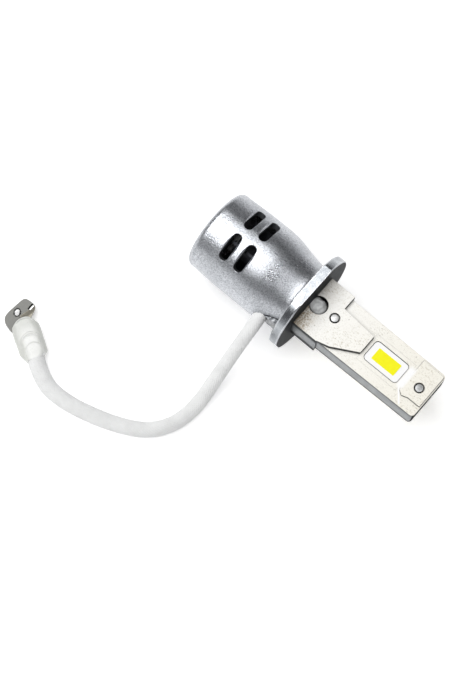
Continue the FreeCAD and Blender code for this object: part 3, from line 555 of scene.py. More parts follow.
def add_skin(work, rings, closed=False):
    """Faces over rings of points, capped at both ends or closed from the last to the first."""
    loops = [[work.verts.new(point) for point in ring] for ring in rings]
    for first, second in zip(loops, loops[1:] + (loops[:1] if closed else [])):
        for k in range(len(first)):
            nxt = (k + 1) % len(first)
            work.faces.new((first[k], first[nxt], second[nxt], second[k]))
    if not closed:
        work.faces.new(list(reversed(loops[0])))
        work.faces.new(loops[-1])


def as_given(u, v, w):
    return Vector((u, v, w))


def slab(outline, low, high, place=as_given):
    """A flat plate over an outline; place(u, v, w) puts its points in the row frame."""
    work = bmesh.new()
    add_skin(work, [[place(u, v, w) for u, v in outline] for w in (low, high)])
    outward(work)
    return work


def turns(count):
    """Even angles round a circle, in radians."""
    return [2 * pi * k / count for k in range(count)]


def smooth_curve(points, steps, closed=False):
    """Points along a smooth curve through points, with steps to each span."""
    points = [Vector(point) for point in points]
    count = len(points)
    curve = []
    for i in range(count if closed else count - 1):
        places = range(i - 1, i + 3)
        before, first, second, after = (
            points[k % count if closed else min(count - 1, max(0, k))] for k in places)
        for k in range(steps):
            t = k / steps
            curve.append(tuple(0.5 * (2 * first + (second - before) * t
                                      + (2 * before - 5 * first + 4 * second - after) * t ** 2
                                      + (3 * first - before - 3 * second + after) * t ** 3)))
    return curve if closed else curve + [tuple(points[-1])]


def ease(value, low, high):
    """0 below low, 1 above high, with a smooth rise between."""
    part = min(1.0, max(0.0, (value - low) / (high - low)))
    return part * part * (3 - 2 * part)


def hump(value, middle, width):
    """1 at the middle, falling to nothing a few widths away."""
    return exp(-((value - middle) / width) ** 2)


def add_bevel(piece, round_mm, angle=32, segments=2):
    bevel = piece.modifiers.new("round", "BEVEL")
    bevel.width = round_mm * MM
    bevel.segments = segments
    bevel.limit_method = "ANGLE"
    bevel.angle_limit = radians(angle)
    bevel.use_clamp_overlap = True
    bevel.harden_normals = True
    apply_modifiers(piece)


def apply_modifiers(piece):
    """Replace the piece's mesh with the result of its modifiers."""
    depsgraph = bpy.context.evaluated_depsgraph_get()
    mesh = bpy.data.meshes.new_from_object(piece.evaluated_get(depsgraph))
    piece.modifiers.clear()
    piece.data = mesh


def cut_with(piece, work):
    """Take a bmesh's shape out of a piece."""
    cutter = new_object("cutter", finished_mesh(work, "cutter"))
    change = piece.modifiers.new("cut", "BOOLEAN")
    change.operation = "DIFFERENCE"
    change.solver = "EXACT"
    change.object = cutter
    bpy.context.view_layer.update()
    apply_modifiers(piece)
    bpy.data.objects.remove(cutter)


def softened(node, round_mm, more_finishes=(), segments=2):
    """A copy of a CAD node with its edges rounded, standing for it."""
    source = nodes[node].data.copy()
    if "custom_normal" in source.attributes:
        source.attributes.remove(source.attributes["custom_normal"])
    work = bmesh.new()
    work.from_mesh(source)
    bmesh.ops.remove_doubles(work, verts=work.verts, dist=1e-7)
    bpy.data.meshes.remove(source)
    slot = SLOT_OF[node]
    piece = smooth_piece(work, node + "_finish", slot, 30, (slot, *more_finishes))
    add_bevel(piece, round_mm, segments=segments)
    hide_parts(node)
    return piece


# ---- the lead ----

CORD_DIAMETER = 0.003
CORD_ROUTE = [
    (-0.00855, -0.0080, 0.0110), (-0.00815, -0.0122, 0.0104), (-0.00805, -0.0170, 0.0077),
    (-0.00785, -0.0224, 0.0038), (-0.00735, -0.0282, 0.00175), (-0.00815, -0.0340, 0.00165),
    (-0.01125, -0.0386, 0.00168), (-0.01625, -0.0415, 0.00168), (-0.02205, -0.0436, 0.00171),
    (-0.02791, -0.0450, 0.00178), (-0.03367, -0.04486, 0.00186), (-0.03774, -0.04216, 0.0020)]
# The sleeve's thickness at each point, as a share of its diameter
CORD_SWELL = [0.88, 0.88, 0.91, 0.95, 1.0, 1.0, 1.01, 1.02, 1.04, 1.06, 1.1, 1.16]
YARNS = 16
YARN_SIDES = 6
YARN_STEP_MM = 0.22
YARN_PITCH_MM = 9.5
YARN_WIDTH_MM = 0.38
YARN_THICKNESS_MM = 0.13
YARN_LIFT_MM = 0.01
YARN_WEAVE_MM = 0.035
YARN_SEED = 11


def make_cord():
    """The sleeve's core, and the points along its middle."""
    data = bpy.data.curves.new("lead_core", "CURVE")
    data.dimensions = "3D"
    data.resolution_u = 24
    data.bevel_resolution = 8
    data.use_fill_caps = True
    spline = data.splines.new("NURBS")
    spline.points.add(len(CORD_ROUTE) - 1)
    for point, place, swell in zip(spline.points, CORD_ROUTE, CORD_SWELL):
        point.co = (*place, 1.0)
        point.radius = swell
    spline.order_u = 3
    spline.use_endpoint_u = True
    cord = new_object("lead_core", data)
    bpy.context.view_layer.update()
    line = [v.co.copy() for v in bpy.data.meshes.new_from_object(cord).vertices]
    data.bevel_depth = CORD_DIAMETER / 2
    data.materials.append(FINISH["sleeve_white"])
    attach(cord, BULB)
    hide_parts("lead_sleeve")
    return cord, line


def spaced(line, step):
    """Points along a line at even steps, with the share of its length at each."""
    lengths = [0.0]
    for first, second in zip(line, line[1:]):
        lengths.append(lengths[-1] + (second - first).length)
    count = max(2, int(lengths[-1] / step))
    points, index = [], 0
    for i in range(count + 1):
        target = lengths[-1] * i / count
        while index < len(line) - 2 and lengths[index + 1] < target:
            index += 1
        span = lengths[index + 1] - lengths[index]
        part = (target - lengths[index]) / span if span else 0.0
        points.append((line[index].lerp(line[index + 1], min(1.0, part)), i / count))
    return points, lengths[-1]


def carried_frames(points):
    """Side and up vectors carried along points without twist."""
    frames = []
    side = None
    for i, (place, share) in enumerate(points):
        along = (points[min(len(points) - 1, i + 1)][0] - points[max(0, i - 1)][0]).normalized()
        if side is None:
            side = along.orthogonal().normalized()
        side = (side - along * side.dot(along)).normalized()
        frames.append((place, share, side, along.cross(side)))
    return frames


def swell_at(share):
    """The sleeve's thickness at a share of its length."""
    place = share * (len(CORD_SWELL) - 1)
    index = min(int(place), len(CORD_SWELL) - 2)
    part = place - index
    return CORD_SWELL[index] * (1 - part) + CORD_SWELL[index + 1] * part


def make_braid(line):
    """The sleeve's two sets of flat yarns, wound opposite ways and passing over and under."""
    points, length = spaced(line, YARN_STEP_MM * MM)
    frames = carried_frames(points)
    work = bmesh.new()
    chance = random.Random(YARN_SEED)
    for direction in (1, -1):
        for start in turns(YARNS):
            half_width = YARN_WIDTH_MM / 2 * chance.uniform(0.85, 1.1) * MM
            centres = []
            for place, share, side, up in frames:
                wound = 2 * pi * share * length / (YARN_PITCH_MM * MM)
                angle = start + direction * wound
                lift = direction * cos(YARNS * wound)
                radius = (CORD_DIAMETER / 2 * swell_at(share)
                          + (YARN_LIFT_MM + YARN_WEAVE_MM * lift) * MM)
                away = side * cos(angle) + up * sin(angle)
                centres.append((place + away * radius, away))
            rings = []
            for i, (centre, away) in enumerate(centres):
                before, after = centres[max(0, i - 1)][0], centres[min(len(centres) - 1, i + 1)][0]
                across = (after - before).normalized().cross(away).normalized()
                rings.append([centre + across * (cos(turn) * half_width)
                              + away * (sin(turn) * YARN_THICKNESS_MM / 2 * MM)
                              for turn in turns(YARN_SIDES)])
            add_skin(work, rings)
    bmesh.ops.recalc_face_normals(work, faces=work.faces)
    return smooth_piece(work, "lead_braid", "sleeve_white", 80)


# ---- housing ----

HOUSING_BACK = -25.0
HOUSING_FRONT = -2.0
BACK_RADIUS = 8.85
BARREL_RADIUS = 9.05
BACK_ROUND = 1.2
MOUTH_ROUND = 0.15
SWELL_END = -17.0
BARREL_STEPS = 16
HOUSING_SIDES = 288
NECK_POINTS = ((-12.4, 9.05), (-11.2, 8.99), (-9.9, 8.83), (-8.4, 8.54), (-6.8, 8.19),
               (-5.2, 7.86), (-3.8, 7.62), (-2.95, 7.56), (-2.45, 7.66), (-2.15, 7.9),
               (-2.0, 8.25))
NECK_BORE = 6.2
MOUTH_BORE = 7.5
PLENUM_BORE = 7.9
PLENUM = (-19.8, -13.0)
LEAD_SIDE = radians(270 - 12)
LEAD_SIDE_SPREAD = radians(34)
VENT_ROWS = (-18.35, -14.65)
VENT_COLUMNS = (25.4, -25.4, 180 + 25.4, 180 - 25.4)
VENT_HALF_WIDTH = 0.93
VENT_SWEEP = 27.5
VENT_STEPS = 12
# Radius, and how far a vent's outline flares there
VENT_LIP = ((5.2, 0.0), (8.82, 0.0), (8.92, 0.03), (9.0, 0.08), (9.06, 0.16), (9.9, 1.0))
COLLAR_OUTLINE = [(-7.0, -1.75), (-2.35, -1.75), (-2.2, 1.95), (-3.4, 1.75), (-5.4, 1.05),
                  (-7.0, 1.05)]
COLLAR_MIDDLE = (-5.0, 0.0)
COLLAR_ACROSS = (-8.22, -5.75)
NOTCH_ACROSS = (-10.0, -5.5)
COLLAR_GAP = 0.14
COLLAR_LUMP = 0.75
COLLAR_LUMP_DEPTH = 0.13
COLLAR_SEED = 3


def arc(centre_x, centre_r, radius, start, end, steps):
    """Points of a round in the lathe's outline, by angle in degrees."""
    angles = [radians(start + (end - start) * i / steps) for i in range(steps + 1)]
    return [(centre_x + radius * cos(angle), centre_r + radius * sin(angle))
            for angle in angles]


def lathe(outline, segments, swell=None):
    """A closed ring about the bulb's axis from (station, radius) in millimetres, where
    swell(station, radius, angle) may give another radius."""
    work = bmesh.new()
    add_skin(work, [[around(station, swell(station, radius, angle) if swell else radius, angle)
                     for station, radius in outline] for angle in turns(segments)], closed=True)
    bmesh.ops.recalc_face_normals(work, faces=work.faces)
    return work


def lead_side_swell(station, radius, angle):
    """The wall stays full where the lead comes out, and narrows only after it."""
    if station < NECK_POINTS[0][0] or radius < MOUTH_BORE:
        return radius
    share = hump(angle, LEAD_SIDE, LEAD_SIDE_SPREAD) * (1 - ease(station, -8.4, -4.6))
    return radius + (BARREL_RADIUS - radius) * share


def housing_outline():
    start = HOUSING_BACK + BACK_ROUND
    outer = arc(start, BACK_RADIUS - BACK_ROUND, BACK_ROUND, 180, 90, 10)
    barrel = []
    for i in range(1, BARREL_STEPS):
        station = start + (NECK_POINTS[0][0] - start) * i / BARREL_STEPS
        swell = BACK_RADIUS + (BARREL_RADIUS - BACK_RADIUS) * ease(station, start, SWELL_END)
        barrel.append((station, swell))
    back, front = PLENUM
    inner = [(HOUSING_FRONT, NECK_BORE), (-8.0, NECK_BORE), (front, NECK_BORE),
             (front, PLENUM_BORE), (-16.0, PLENUM_BORE), (back, PLENUM_BORE),
             (back, MOUTH_BORE), (-22.0, MOUTH_BORE)]
    mouth = arc(HOUSING_BACK + MOUTH_ROUND, MOUTH_BORE + MOUTH_ROUND, MOUTH_ROUND, 270, 180, 4)
    return outer + barrel + smooth_curve(NECK_POINTS, 5) + inner + mouth


def vent_cutters():
    """Round-ended slots that flare at the wall's surface, so that each vent has a rounded lip."""
    work = bmesh.new()
    for station in VENT_ROWS:
        for middle in VENT_COLUMNS:
            rings = []
            for radius, flare in VENT_LIP:
                half = VENT_HALF_WIDTH + flare
                ring = []
                for end in (1, -1):
                    for i in range(VENT_STEPS + 1):
                        turn = pi * i / VENT_STEPS
                        sweep = (radians(VENT_SWEEP / 2)
                                 + atan(half * sin(turn) / radius))
                        ring.append(around(station + end * half * cos(turn), radius,
                                           radians(middle) + end * sweep))
                rings.append(ring)
            add_skin(work, rings)
    outward(work)
    return work


def across_wall(along, up, out):
    """A slab's outline taken along the bulb and upwards, and its depth across it."""
    return at(along, out, up)


def make_collar():
    """The lumpy crimped collar that fills the notch and holds the lead."""
    work = slab(COLLAR_OUTLINE, *COLLAR_ACROSS, across_wall)
    bmesh.ops.triangulate(work, faces=work.faces[:])
    bmesh.ops.subdivide_edges(work, edges=work.edges[:], cuts=9, use_grid_fill=True)
    noise.seed_set(COLLAR_SEED)
    for vert in work.verts:
        vert.co += noise.noise_vector(vert.co / (COLLAR_LUMP * MM)) * COLLAR_LUMP_DEPTH * MM
    piece = smooth_piece(work, "lead_collar", "grommet_rubber", 60, ["collar_metal"])
    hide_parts("lead_grommet")


def inside_housing(polygon):
    """Whether a face of the shell is in a bore or is a vent's wall."""
    middle = polygon.center - at(0, 0, 0)
    station, radius = middle.x / MM, hypot(middle.y, middle.z) / MM
    in_bore = radius < MOUTH_BORE - 0.05 and station > HOUSING_BACK + 0.2
    in_plenum = radius < PLENUM_BORE + 0.08 and PLENUM[0] - 0.1 < station < PLENUM[1] + 0.1
    facing = abs(polygon.normal.y * middle.y + polygon.normal.z * middle.z) / (radius * MM)
    by_vent = any(abs(station - row) < VENT_HALF_WIDTH + 0.2 for row in VENT_ROWS)
    in_vent = PLENUM_BORE < radius < BARREL_RADIUS - 0.07 and facing < 0.6 and by_vent
    return in_bore or in_plenum or in_vent


def make_housing():
    work = lathe(housing_outline(), HOUSING_SIDES, lead_side_swell)
    piece = new_piece("fan_housing_shell", work, "housing_metal",
                      ["housing_metal", "shaded_housing_inside"])
    cut_with(piece, vent_cutters())
    notch = [tuple(place + COLLAR_GAP * copysign(1, place - middle)
                   for place, middle in zip(corner, COLLAR_MIDDLE)) for corner in COLLAR_OUTLINE]
    cut_with(piece, slab(notch, *NOTCH_ACROSS, across_wall))
    # Faces inside the housing and the vents' walls get the nearly black finish: painted shade.
    for polygon in piece.data.polygons:
        polygon.material_index = int(inside_housing(polygon))
    smooth(piece.data, 32)
    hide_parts("fan_housing")


# ---- terminal ----

TERMINAL_CENTRE = (-39.2, -39.7, -9.1)
TERMINAL_HEADING = radians(149)
HEADING_X, HEADING_Y = cos(TERMINAL_HEADING), sin(TERMINAL_HEADING)
BOOT_REAR = -4.65
BOOT_MOUTH = 4.42
BOOT_MIDDLE = 0.12
BOOT_WALL = 0.42
BOOT_SQUARENESS = 0.72
BOOT_RINGS = 120
BOOT_SIDES = 112
BOOT_INSIDE = (0.985, 0.93, 0.86, 0.78, 0.7)
TAB_CORNERS = [(0.5, -1.2), (3.0, -1.25), (4.35, -1.35), (5.05, -1.95), (5.75, -2.6),
               (6.35, -2.74), (7.2, -2.35), (8.05, -1.7), (8.32, -1.1), (8.12, -0.35),
               (7.5, 0.9), (6.75, 2.4), (6.1, 3.35), (5.45, 3.78), (4.6, 3.92), (3.6, 3.72),
               (2.4, 3.25), (1.2, 2.5), (0.5, 1.6)]
TAB_HALF = 0.3
TAB_LIFT = 0.24
TAB_TOP = TAB_LIFT + TAB_HALF
# Middle, half sizes, slant in degrees and squareness: 1 is an ellipse, less is boxier
TAB_HOLE = ((6.0, 1.0), (0.84, 0.62), -28.0, 1.0)
TAB_SLIT = ((6.40, -1.86), (0.80, 0.17), -55.0, 0.6)
TAB_BAR = ((6.02, -2.02), (0.62, 0.15), -57.0, 0.55)
BURR_RADIUS = 0.15
BURR_LUMP = 0.32
BURR_SIDES = 10
FOLD_FROM = Vector((5.95, -1.34))
FOLD_RUN = (Vector((4.9, 1.9)) - FOLD_FROM).normalized()
FOLD_DROP = 0.42
FOLD_STEP = 0.14
FOLD_STEPS = 9
FOLD_CUTS_ACROSS = (0.1, 0.4, 0.7, 1.0, 1.3)
TAB_ROUND = 0.09
LIP_ROUND = 0.08


def terminal(along, across, up):
    """A point from millimetres on the terminal's axes: out of the boot's mouth, across and up."""
    return at(TERMINAL_CENTRE[0] + along * HEADING_X - across * HEADING_Y,
              TERMINAL_CENTRE[1] + along * HEADING_Y + across * HEADING_X,
              TERMINAL_CENTRE[2] + up)


def boot_mouth(share):
    """How far the arched mouth reaches, by the share of the half-width."""
    return BOOT_MOUTH - (1.55 if share > 0 else 2.1) * abs(share) ** 2.4


def boot_relief(along, across, mouth):
    """Height of the boot's two steps over the crimp, less the fold between them, and its lip."""
    outer_step = ease(1.25 - 0.30 * across ** 2 - along, 0.0, 0.42)
    inner_step = ease(-1.15 - 0.34 * across ** 2 - along, 0.0, 0.4)
    fold = hump(along, 0.42 - 0.22 * across ** 2, 0.18)
    return (0.30 * outer_step + 0.24 * inner_step - 0.13 * fold
            + 0.12 * hump(along, mouth - 0.22, 0.17))


def boot_ring(station_share, inset):
    """One ring of the boot's skin; its stations bend with the mouth towards the front."""
    ring = []
    for turn in turns(BOOT_SIDES):
        side, lift = cos(turn), sin(turn)
        side_share = copysign(abs(side) ** BOOT_SQUARENESS, side)
        lift_share = copysign(abs(lift) ** BOOT_SQUARENESS, lift)
        mouth = boot_mouth(side_share)
        along = BOOT_REAR + (mouth - BOOT_REAR) * station_share
        if side > 0:
            half_width = 1.8 + 1.2 * ease(along, BOOT_REAR - 0.6, -2.5) + 0.12 * ease(along, -2, 1)
        else:
            half_width = 1.45 + 1.25 * ease(along, BOOT_REAR, -3.2)
        half_width -= 0.35 * ease(along, 1.6, 4.4) + inset
        half_height = 1.22 + 0.14 * ease(along, BOOT_REAR, -2.6) - inset * 0.9
        across = BOOT_MIDDLE + half_width * side_share
        up = half_height * lift_share
        if not inset:
            band = ease(2.2 - abs(across - 0.15), 0.0, 0.6)
            raised = boot_relief(along, across, mouth) * band
            up += copysign(min(1.0, abs(lift_share) * 1.4) * raised, lift)
        ring.append(terminal(along, across, up))
    return ring


def make_boot():
    """Milky boot over the crimp: stepped where it covers it, with an open arched mouth."""
    work = bmesh.new()
    outside = [boot_ring(i / BOOT_RINGS, 0.0) for i in range(BOOT_RINGS + 1)]
    lip = boot_ring(0.998, BOOT_WALL * 0.5)
    add_skin(work, outside + [lip] + [boot_ring(share, BOOT_WALL) for share in BOOT_INSIDE])
    outward(work)
    piece = smooth_piece(work, "terminal_boot_skin", "boot_clear", 50)
    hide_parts("terminal_boot")
    return piece


def oval(middle, half_sizes, degrees, squareness, steps=36):
    """The outline of an ellipse or a rounder or boxier oval, turned by some degrees."""
    slant_x, slant_y = cos(radians(degrees)), sin(radians(degrees))
    loop = []
    for angle in turns(steps):
        u, v = (half * copysign(abs(part) ** squareness, part)
                for half, part in zip(half_sizes, (cos(angle), sin(angle))))
        loop.append((middle[0] + u * slant_x - v * slant_y, middle[1] + u * slant_y + v * slant_x))
    return loop


def behind_fold(along, across):
    """Distance behind the tab's fold line, towards the boot, in millimetres."""
    away = Vector((along, across)) - FOLD_FROM
    return away.y * FOLD_RUN.x - away.x * FOLD_RUN.y


def make_tab_plate():
    """Stamped tab with an oval hole, a lanced slit and a fold down to the boot's mouth. It is
    made flat in millimetres first, and then folded and set in its place."""
    head = slab(smooth_curve(TAB_CORNERS, 5, closed=True), -TAB_HALF, TAB_HALF)
    plate = new_piece("terminal_tab_plate", head, "tab_nickel", ["tab_nickel", "tab_fold_reflection"])
    for shape, floor in ((TAB_HOLE, -1), (TAB_SLIT, 0)):
        cut_with(plate, slab(oval(*shape), floor, 1))
    work = bmesh.new()
    work.from_mesh(plate.data)
    fold_normal = Vector((-FOLD_RUN.y, FOLD_RUN.x, 0))
    seams = [(Vector((*FOLD_FROM, 0)) + fold_normal * (FOLD_STEP * i), fold_normal)
             for i in range(FOLD_STEPS)]
    seams += [(Vector((0, across, 0)), Vector((0, 1, 0))) for across in FOLD_CUTS_ACROSS]
    for place, normal in seams:
        bmesh.ops.bisect_plane(work, geom=work.verts[:] + work.edges[:] + work.faces[:],
                               plane_co=place, plane_no=normal)
    for vert in work.verts:
        depth = behind_fold(vert.co.x, vert.co.y)
        drop = FOLD_DROP * ease(depth, 0.0, 1.15) * ease(1.3 - vert.co.y, 0.0, 1.2)
        vert.co = terminal(vert.co.x, vert.co.y, vert.co.z + TAB_LIFT - drop)
    work.to_mesh(plate.data)
    work.free()
    smooth(plate.data, 30)
    add_bevel(plate, TAB_ROUND, angle=50)
    # The folded part gets the lighter tan finish: painted reflection.
    for polygon in plate.data.polygons:
        away = (polygon.center - at(*TERMINAL_CENTRE)) / MM
        along = away.x * HEADING_X + away.y * HEADING_Y
        across = away.y * HEADING_X - away.x * HEADING_Y
        polygon.material_index = int(behind_fold(along, across) > 0.1 and across < 0.8)
    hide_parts("terminal_tab")
    return plate


def make_tab_burr():
    """The rough rim of the tab's hole, painted dark as the shade of the hole's wall."""
    rings = []
    for along, across in oval(*TAB_HOLE, steps=72):
        away = (Vector((along, across)) - Vector(TAB_HOLE[0])).normalized()
        radius = BURR_RADIUS * (1 + 0.8 * noise.noise(Vector((along, across, 0)) / BURR_LUMP))
        rings.append([terminal(along + away.x * radius * cos(turn),
                               across + away.y * radius * cos(turn),
                               TAB_TOP - 0.04 + radius * sin(turn))
                      for turn in turns(BURR_SIDES)])
    work = bmesh.new()
    add_skin(work, rings, closed=True)
    outward(work)
    return smooth_piece(work, "terminal_tab_burr", "tab_nickel", 60, ["shaded_burr"])


def make_tab():
    """The tab's plate, the slit's floor painted dark as shade, the hole's burr painted dark as shade
    and the slit's lip painted bright as a highlight.
    """
    plate = make_tab_plate()
    # A nearly black floor under the slit: painted shade.
    gap = slab(oval(*TAB_SLIT), TAB_LIFT - 0.02, TAB_LIFT + 0.05, terminal)
    shade = new_piece("terminal_tab_gap", gap, "tab_nickel", ["tab_gap_shade"])
    # The hole's rim is painted dark as the shade of the hole's wall.
    burr = make_tab_burr()
    # The slit's lip is nearly white: a painted highlight.
    bar = slab(oval(*TAB_BAR), TAB_TOP - 0.1, TAB_TOP + 0.14, terminal)
    lip = smooth_piece(bar, "terminal_tab_lip", "tab_nickel", 40, ["tab_lip_highlight"])
    add_bevel(lip, LIP_ROUND, angle=40, segments=3)
    return [plate, shade, burr, lip]


# ---- blade fittings ----

POST_START = 0.02
POST_ROUND_FROM = 1.3
POST_END = 3.28
POST_RADIUS = 1.74
POST_FLOOR = 1.31
POST_HEIGHT = 1.5
POST_RINGS = 30
POST_SIDES = 48
# Size and depth of the lumps
POST_LUMPS = ((0.75, 0.16), (0.28, 0.05))
RIVET_RADIUS = 0.79
RIVET_SIDES = 64
RIVET_SINK = 0.13
# Radius and rise of the rivet's head
RIVET_PROFILE = [(RIVET_RADIUS, 0.0), (RIVET_RADIUS, 0.02), (RIVET_RADIUS - 0.05, 0.09),
                 (RIVET_RADIUS - 0.2, 0.12), (0.45, 0.16), (0.2, 0.175), (0.05, 0.178)]
# Height above the axis of the base's face, the tip pad's and the blade's
BASE_FACE = 3.12
TIP_FACE = 2.5
BLADE_FACE = 2.2
LIGHT_X = 18.7
PACKAGE_CORNER = 0.75
PACKAGE_ROUND = 0.05
RECESS_HALF = (4.95, 3.35)
FILL_HALF = Vector((4.93, 3.33, 0)) * MM
FILL_FLOOR = 1.62
FILL_TOP = BLADE_FACE + 0.006
FILL_CORNER = 0.3
FILL_GROOVE = 0.13
FILL_ROUND = 0.04
FLANGE_ROUND = 0.12
BLADE_ROUND = 0.07


def make_posts():
    """Lumpy solder blobs that run from under the flange into the round pocket, one on each side."""
    work = bmesh.new()
    for face in (1, -1):
        skin = []
        for i in range(POST_RINGS + 1):
            along = POST_START + (POST_END - POST_START) * sin(i / POST_RINGS * pi / 2)
            beyond = max(0.0, (along - POST_ROUND_FROM) / (POST_END - POST_ROUND_FROM))
            radius = POST_RADIUS * sqrt(max(0.0004, 1 - beyond ** 2))
            ring = []
            for turn in turns(POST_SIDES):
                across, rise = radius * cos(turn), radius * sin(turn)
                place = Vector((along, across, POST_HEIGHT + rise))
                lump = 1 + sum(noise.noise(place / size) * depth for size, depth in POST_LUMPS)
                up = max(POST_FLOOR, POST_HEIGHT + rise * lump)
                ring.append(at(along, across * lump, face * up))
            skin.append(ring if face > 0 else list(reversed(ring)))
        add_skin(work, skin)
    outward(work)
    # The solder's nearly white finish offsets the flange's shade over it: painted light.
    piece = smooth_piece(work, "solder_blobs", "solder", 50)
    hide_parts("solder_posts")


def make_rivet(node, face_mm, finish):
    """Pressed rivet: a low dome with a flat struck centre and a thin rolled rim, on both faces."""
    low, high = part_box(node)
    middle = (low + high) / 2
    work = bmesh.new()
    rings = []
    for face in (-1, 1):
        for radius, rise in RIVET_PROFILE[::face]:
            up = AXIS_Z + face * (face_mm - RIVET_SINK + rise) * MM
            rings.append([Vector((middle.x + radius * MM * cos(turn),
                                  middle.y + radius * MM * sin(turn), up))
                          for turn in turns(RIVET_SIDES)])
    add_skin(work, rings)
    outward(work)
    piece = smooth_piece(work, node + "_head", SLOT_OF[node], 40, [finish])
    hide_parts(node)


def rounded_rectangle(low, high, corner_mm, steps=8):
    """Outline in metres of an upright box from low to high whose corners are rounded."""
    outline = []
    radius = corner_mm * MM
    for corner, (x, y) in enumerate(((high.x, high.y), (low.x, high.y), (low.x, low.y),
                                     (high.x, low.y))):
        centre_x = x + (-radius if corner in (0, 3) else radius)
        centre_y = y + (-radius if corner in (0, 1) else radius)
        for i in range(steps + 1):
            turn = radians(90 * (corner + i / steps))
            outline.append((centre_x + radius * cos(turn), centre_y + radius * sin(turn)))
    return outline


def make_package(node):
    """The light package: a box-like CAD node with round corners and softened edges."""
    low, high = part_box(node)
    work = slab(rounded_rectangle(low, high, PACKAGE_CORNER), low.z, high.z)
    piece = smooth_piece(work, node + "_rounded", SLOT_OF[node], 40)
    add_bevel(piece, PACKAGE_ROUND, angle=50)
    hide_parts(node)


def make_fill(name, face, package):
    """White compound that fills the sunk seat up to the face, with a fine groove round the
    package."""
    middle = at(LIGHT_X, 0, 0)
    low, high = sorted(middle.z + face * depth * MM for depth in (FILL_FLOOR, FILL_TOP))
    work = slab(rounded_rectangle(middle - FILL_HALF, middle + FILL_HALF, FILL_CORNER), low, high)
    piece = new_piece(name, work, SLOT_OF["blade_body"])
    low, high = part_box(package)
    groove = Vector((FILL_GROOVE, FILL_GROOVE, 0)) * MM
    hole = rounded_rectangle(low - groove, high + groove, PACKAGE_CORNER + FILL_GROOVE)
    cut_with(piece, slab(hole, middle.z - 4 * MM, middle.z + 4 * MM))
    smooth(piece.data, 40)
    add_bevel(piece, FILL_ROUND, angle=50)


def make_flange():
    """The flange with ground edges, and turned faces painted dark as shade."""
    flange = softened("base_flange", FLANGE_ROUND, ["flange_face"], segments=3)
    for polygon in flange.data.polygons:
        # The flange's flat faces get the dark finish: painted shade.
        polygon.material_index = int(abs(polygon.normal.x) > 0.8)


def make_blade(node):
    """One half of the blade: coated faces, satin sides, a tip end painted dark as shade, and a white
    seat.
    """
    blade = softened(node, BLADE_ROUND, ["blade_side", "blade_end", "led_white"])
    coated, side, end, white = range(4)
    for polygon in blade.data.polygons:
        spot = (polygon.center - at(0, 0, 0)) / MM
        if (abs(spot.x - LIGHT_X) < RECESS_HALF[0] and abs(spot.y) < RECESS_HALF[1]
                and abs(spot.z) < BLADE_FACE - 0.02):
            polygon.material_index = white
        elif abs(polygon.normal.z) > 0.5:
            polygon.material_index = coated
        # The tip's end face gets the nearly black finish: painted shade.
        elif polygon.normal.x > 0.8 and spot.x > BLADE_LENGTH - 1.2:
            polygon.material_index = end
        else:
            polygon.material_index = side


# ---- fan ----

FAN_BLADES = 7
FAN_REAR = -24.1
FAN_FRONT = -21.4
FAN_TIP = 6.35
FRAME_ROUND = 0.08
HUB_RADIUS = 3.1
HUB_BORE = 2.7
# Depth behind the hub's rear and radius, from the middle outwards
HUB_DISH = ((0.22, 0.0), (0.22, 0.5), (0.12, 0.62), (0.12, 2.1), (0.02, 2.25), (0.02, 2.62),
            (0.1, 2.9), (0.3, 3.06), (0.5, HUB_RADIUS))
HUB_FLOOR = 0.6
BLADE_ROOT = 3.0
BLADE_SWEEP = radians(24)
BLADE_REAR = FAN_REAR + 0.28
BLADE_FRONT = FAN_FRONT - 0.3
BLADE_SPANS = 14
BLADE_CHORDS = 12


def fan_blade(start):
    """Rings over one swept, cambered blade that starts at an angle round the hub."""
    rings = []
    for i in range(BLADE_SPANS + 1):
        share = i / BLADE_SPANS
        radius = BLADE_ROOT + (FAN_TIP - BLADE_ROOT) * share
        sweep = BLADE_SWEEP * share ** 1.3 + start
        faces = {1: [], -1: []}
        for j in range(BLADE_CHORDS + 1):
            chord = j / BLADE_CHORDS
            camber = sin(pi * chord)
            station = BLADE_REAR + (BLADE_FRONT - BLADE_REAR) * chord
            off = (chord - 0.5) * (2.3 + 0.7 * share) + 0.42 * camber
            thick = 0.05 + 0.15 * sqrt(max(0.0, camber))
            for side, row in faces.items():
                row.append(around(station - side * thick * 0.6, radius,
                                  sweep + (off + side * thick) / radius))
        rings.append(faces[1] + faces[-1][::-1])
    return rings


def make_impeller():
    """Dished hub with swept blades, open inside for the yoke and magnet."""
    cup = FAN_REAR + HUB_FLOOR
    profile = [(FAN_REAR + depth, radius) for depth, radius in HUB_DISH]
    work = lathe(profile + [(FAN_FRONT, HUB_RADIUS), (FAN_FRONT, HUB_BORE), (cup, HUB_BORE),
                            (cup, 0.0)], 96)
    bmesh.ops.remove_doubles(work, verts=work.verts, dist=1e-7)
    bmesh.ops.recalc_face_normals(work, faces=work.faces)
    hub = smooth_piece(work, "impeller_hub", "fan_black", 30, body=ROTOR)
    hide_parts("fan_impeller")
    work = bmesh.new()
    for start in turns(FAN_BLADES):
        add_skin(work, fan_blade(start))
    outward(work)
    smooth_piece(work, "impeller_blades", "fan_black", 50, body=ROTOR)


# ---- stage ----

FLOOR_HALF = 12.0
FLOOR_GLOW = 0.36
PANEL_PLACE = (-0.37, -0.30, 1.0)
PANEL_SIZE = (0.94, 1.33)
PANEL_WATTS = 13.9
# Height in the world and the soft light that comes from there
SKY = ((0.0, 0.60), (0.12, 0.50), (0.30, 0.21), (0.75, 0.13), (0.88, 0.17), (1.0, 0.26))


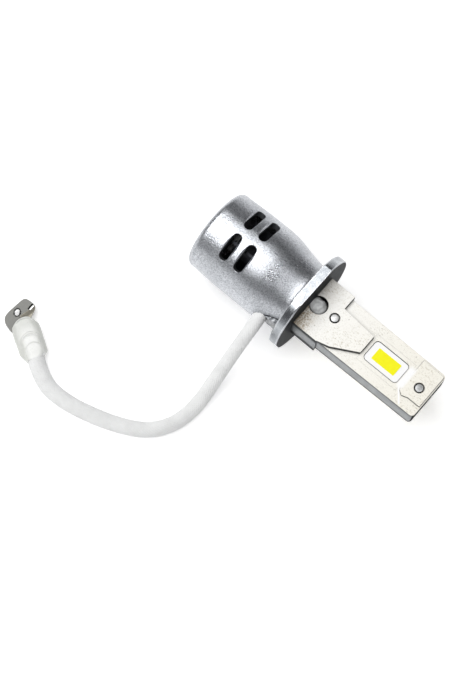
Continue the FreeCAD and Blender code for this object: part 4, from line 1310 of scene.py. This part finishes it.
def make_stage():
    work = bmesh.new()
    bmesh.ops.create_grid(work, x_segments=8, y_segments=8, size=FLOOR_HALF)
    mesh = finished_mesh(work, "floor")
    floor = new_object("floor", mesh)
    p = Paint("pale_floor")
    base = p.blend(p.noise(60.0, detail=2.0), grey(0.94), grey(0.96))
    grain = p.noise(0.8, detail=2.0)
    mesh.materials.append(p.finish(base, 0.9, (grain, 0.01), Emission_Color=grey(1.0),
                                   Emission_Strength=FLOOR_GLOW))


def make_panel():
    """One soft light that shines straight down."""
    data = bpy.data.lights.new("top_panel", "AREA")
    data.shape = "RECTANGLE"
    data.size, data.size_y = PANEL_SIZE
    data.energy = PANEL_WATTS
    new_object("top_panel", data).location = PANEL_PLACE


def make_world():
    world = bpy.data.worlds.new("studio")
    bpy.context.scene.world = world
    world.use_nodes = True
    tree = world.node_tree
    place = tree.nodes.new("ShaderNodeTexCoord")
    parts = tree.nodes.new("ShaderNodeSeparateXYZ")
    ramp = tree.nodes.new("ShaderNodeValToRGB")
    tree.links.new(place.outputs["Generated"], parts.inputs[0])
    tree.links.new(parts.outputs[2], ramp.inputs[0])
    elements = ramp.color_ramp.elements
    while len(elements) < len(SKY):
        elements.new(0.5)
    for element, (position, value) in zip(elements, SKY):
        element.position = position
        element.color = (value, value, value * 1.02, 1.0)
    tree.links.new(ramp.outputs[0], tree.nodes["Background"].inputs[0])


# ---- assembly ----

cord, cord_line = make_cord()
braid = make_braid(cord_line)
make_housing()
make_collar()
boot = make_boot()
tab_pieces = make_tab()
make_posts()
make_impeller()
make_rivet("base_rivet", BASE_FACE, "rivet_pale")
make_rivet("tip_rivet", TIP_FACE, "rivet_steel")
for fan_part in ("fan_frame", "fan_retaining_ring"):
    softened(fan_part, FRAME_ROUND)
for side, face in (("front", 1), ("rear", -1)):
    make_package(side + "_led_package")
    make_fill(side + "_seat_fill", face, side + "_led_package")
make_flange()
for blade_node in ("blade_body", "blade_back_plate"):
    make_blade(blade_node)

for name, node in nodes.items():
    node.data.materials.clear()
    node.data.materials.append(FINISH[SLOT_OF[name]])

make_stage()
make_world()
make_panel()
bpy.context.scene.view_settings.view_transform = "Standard"
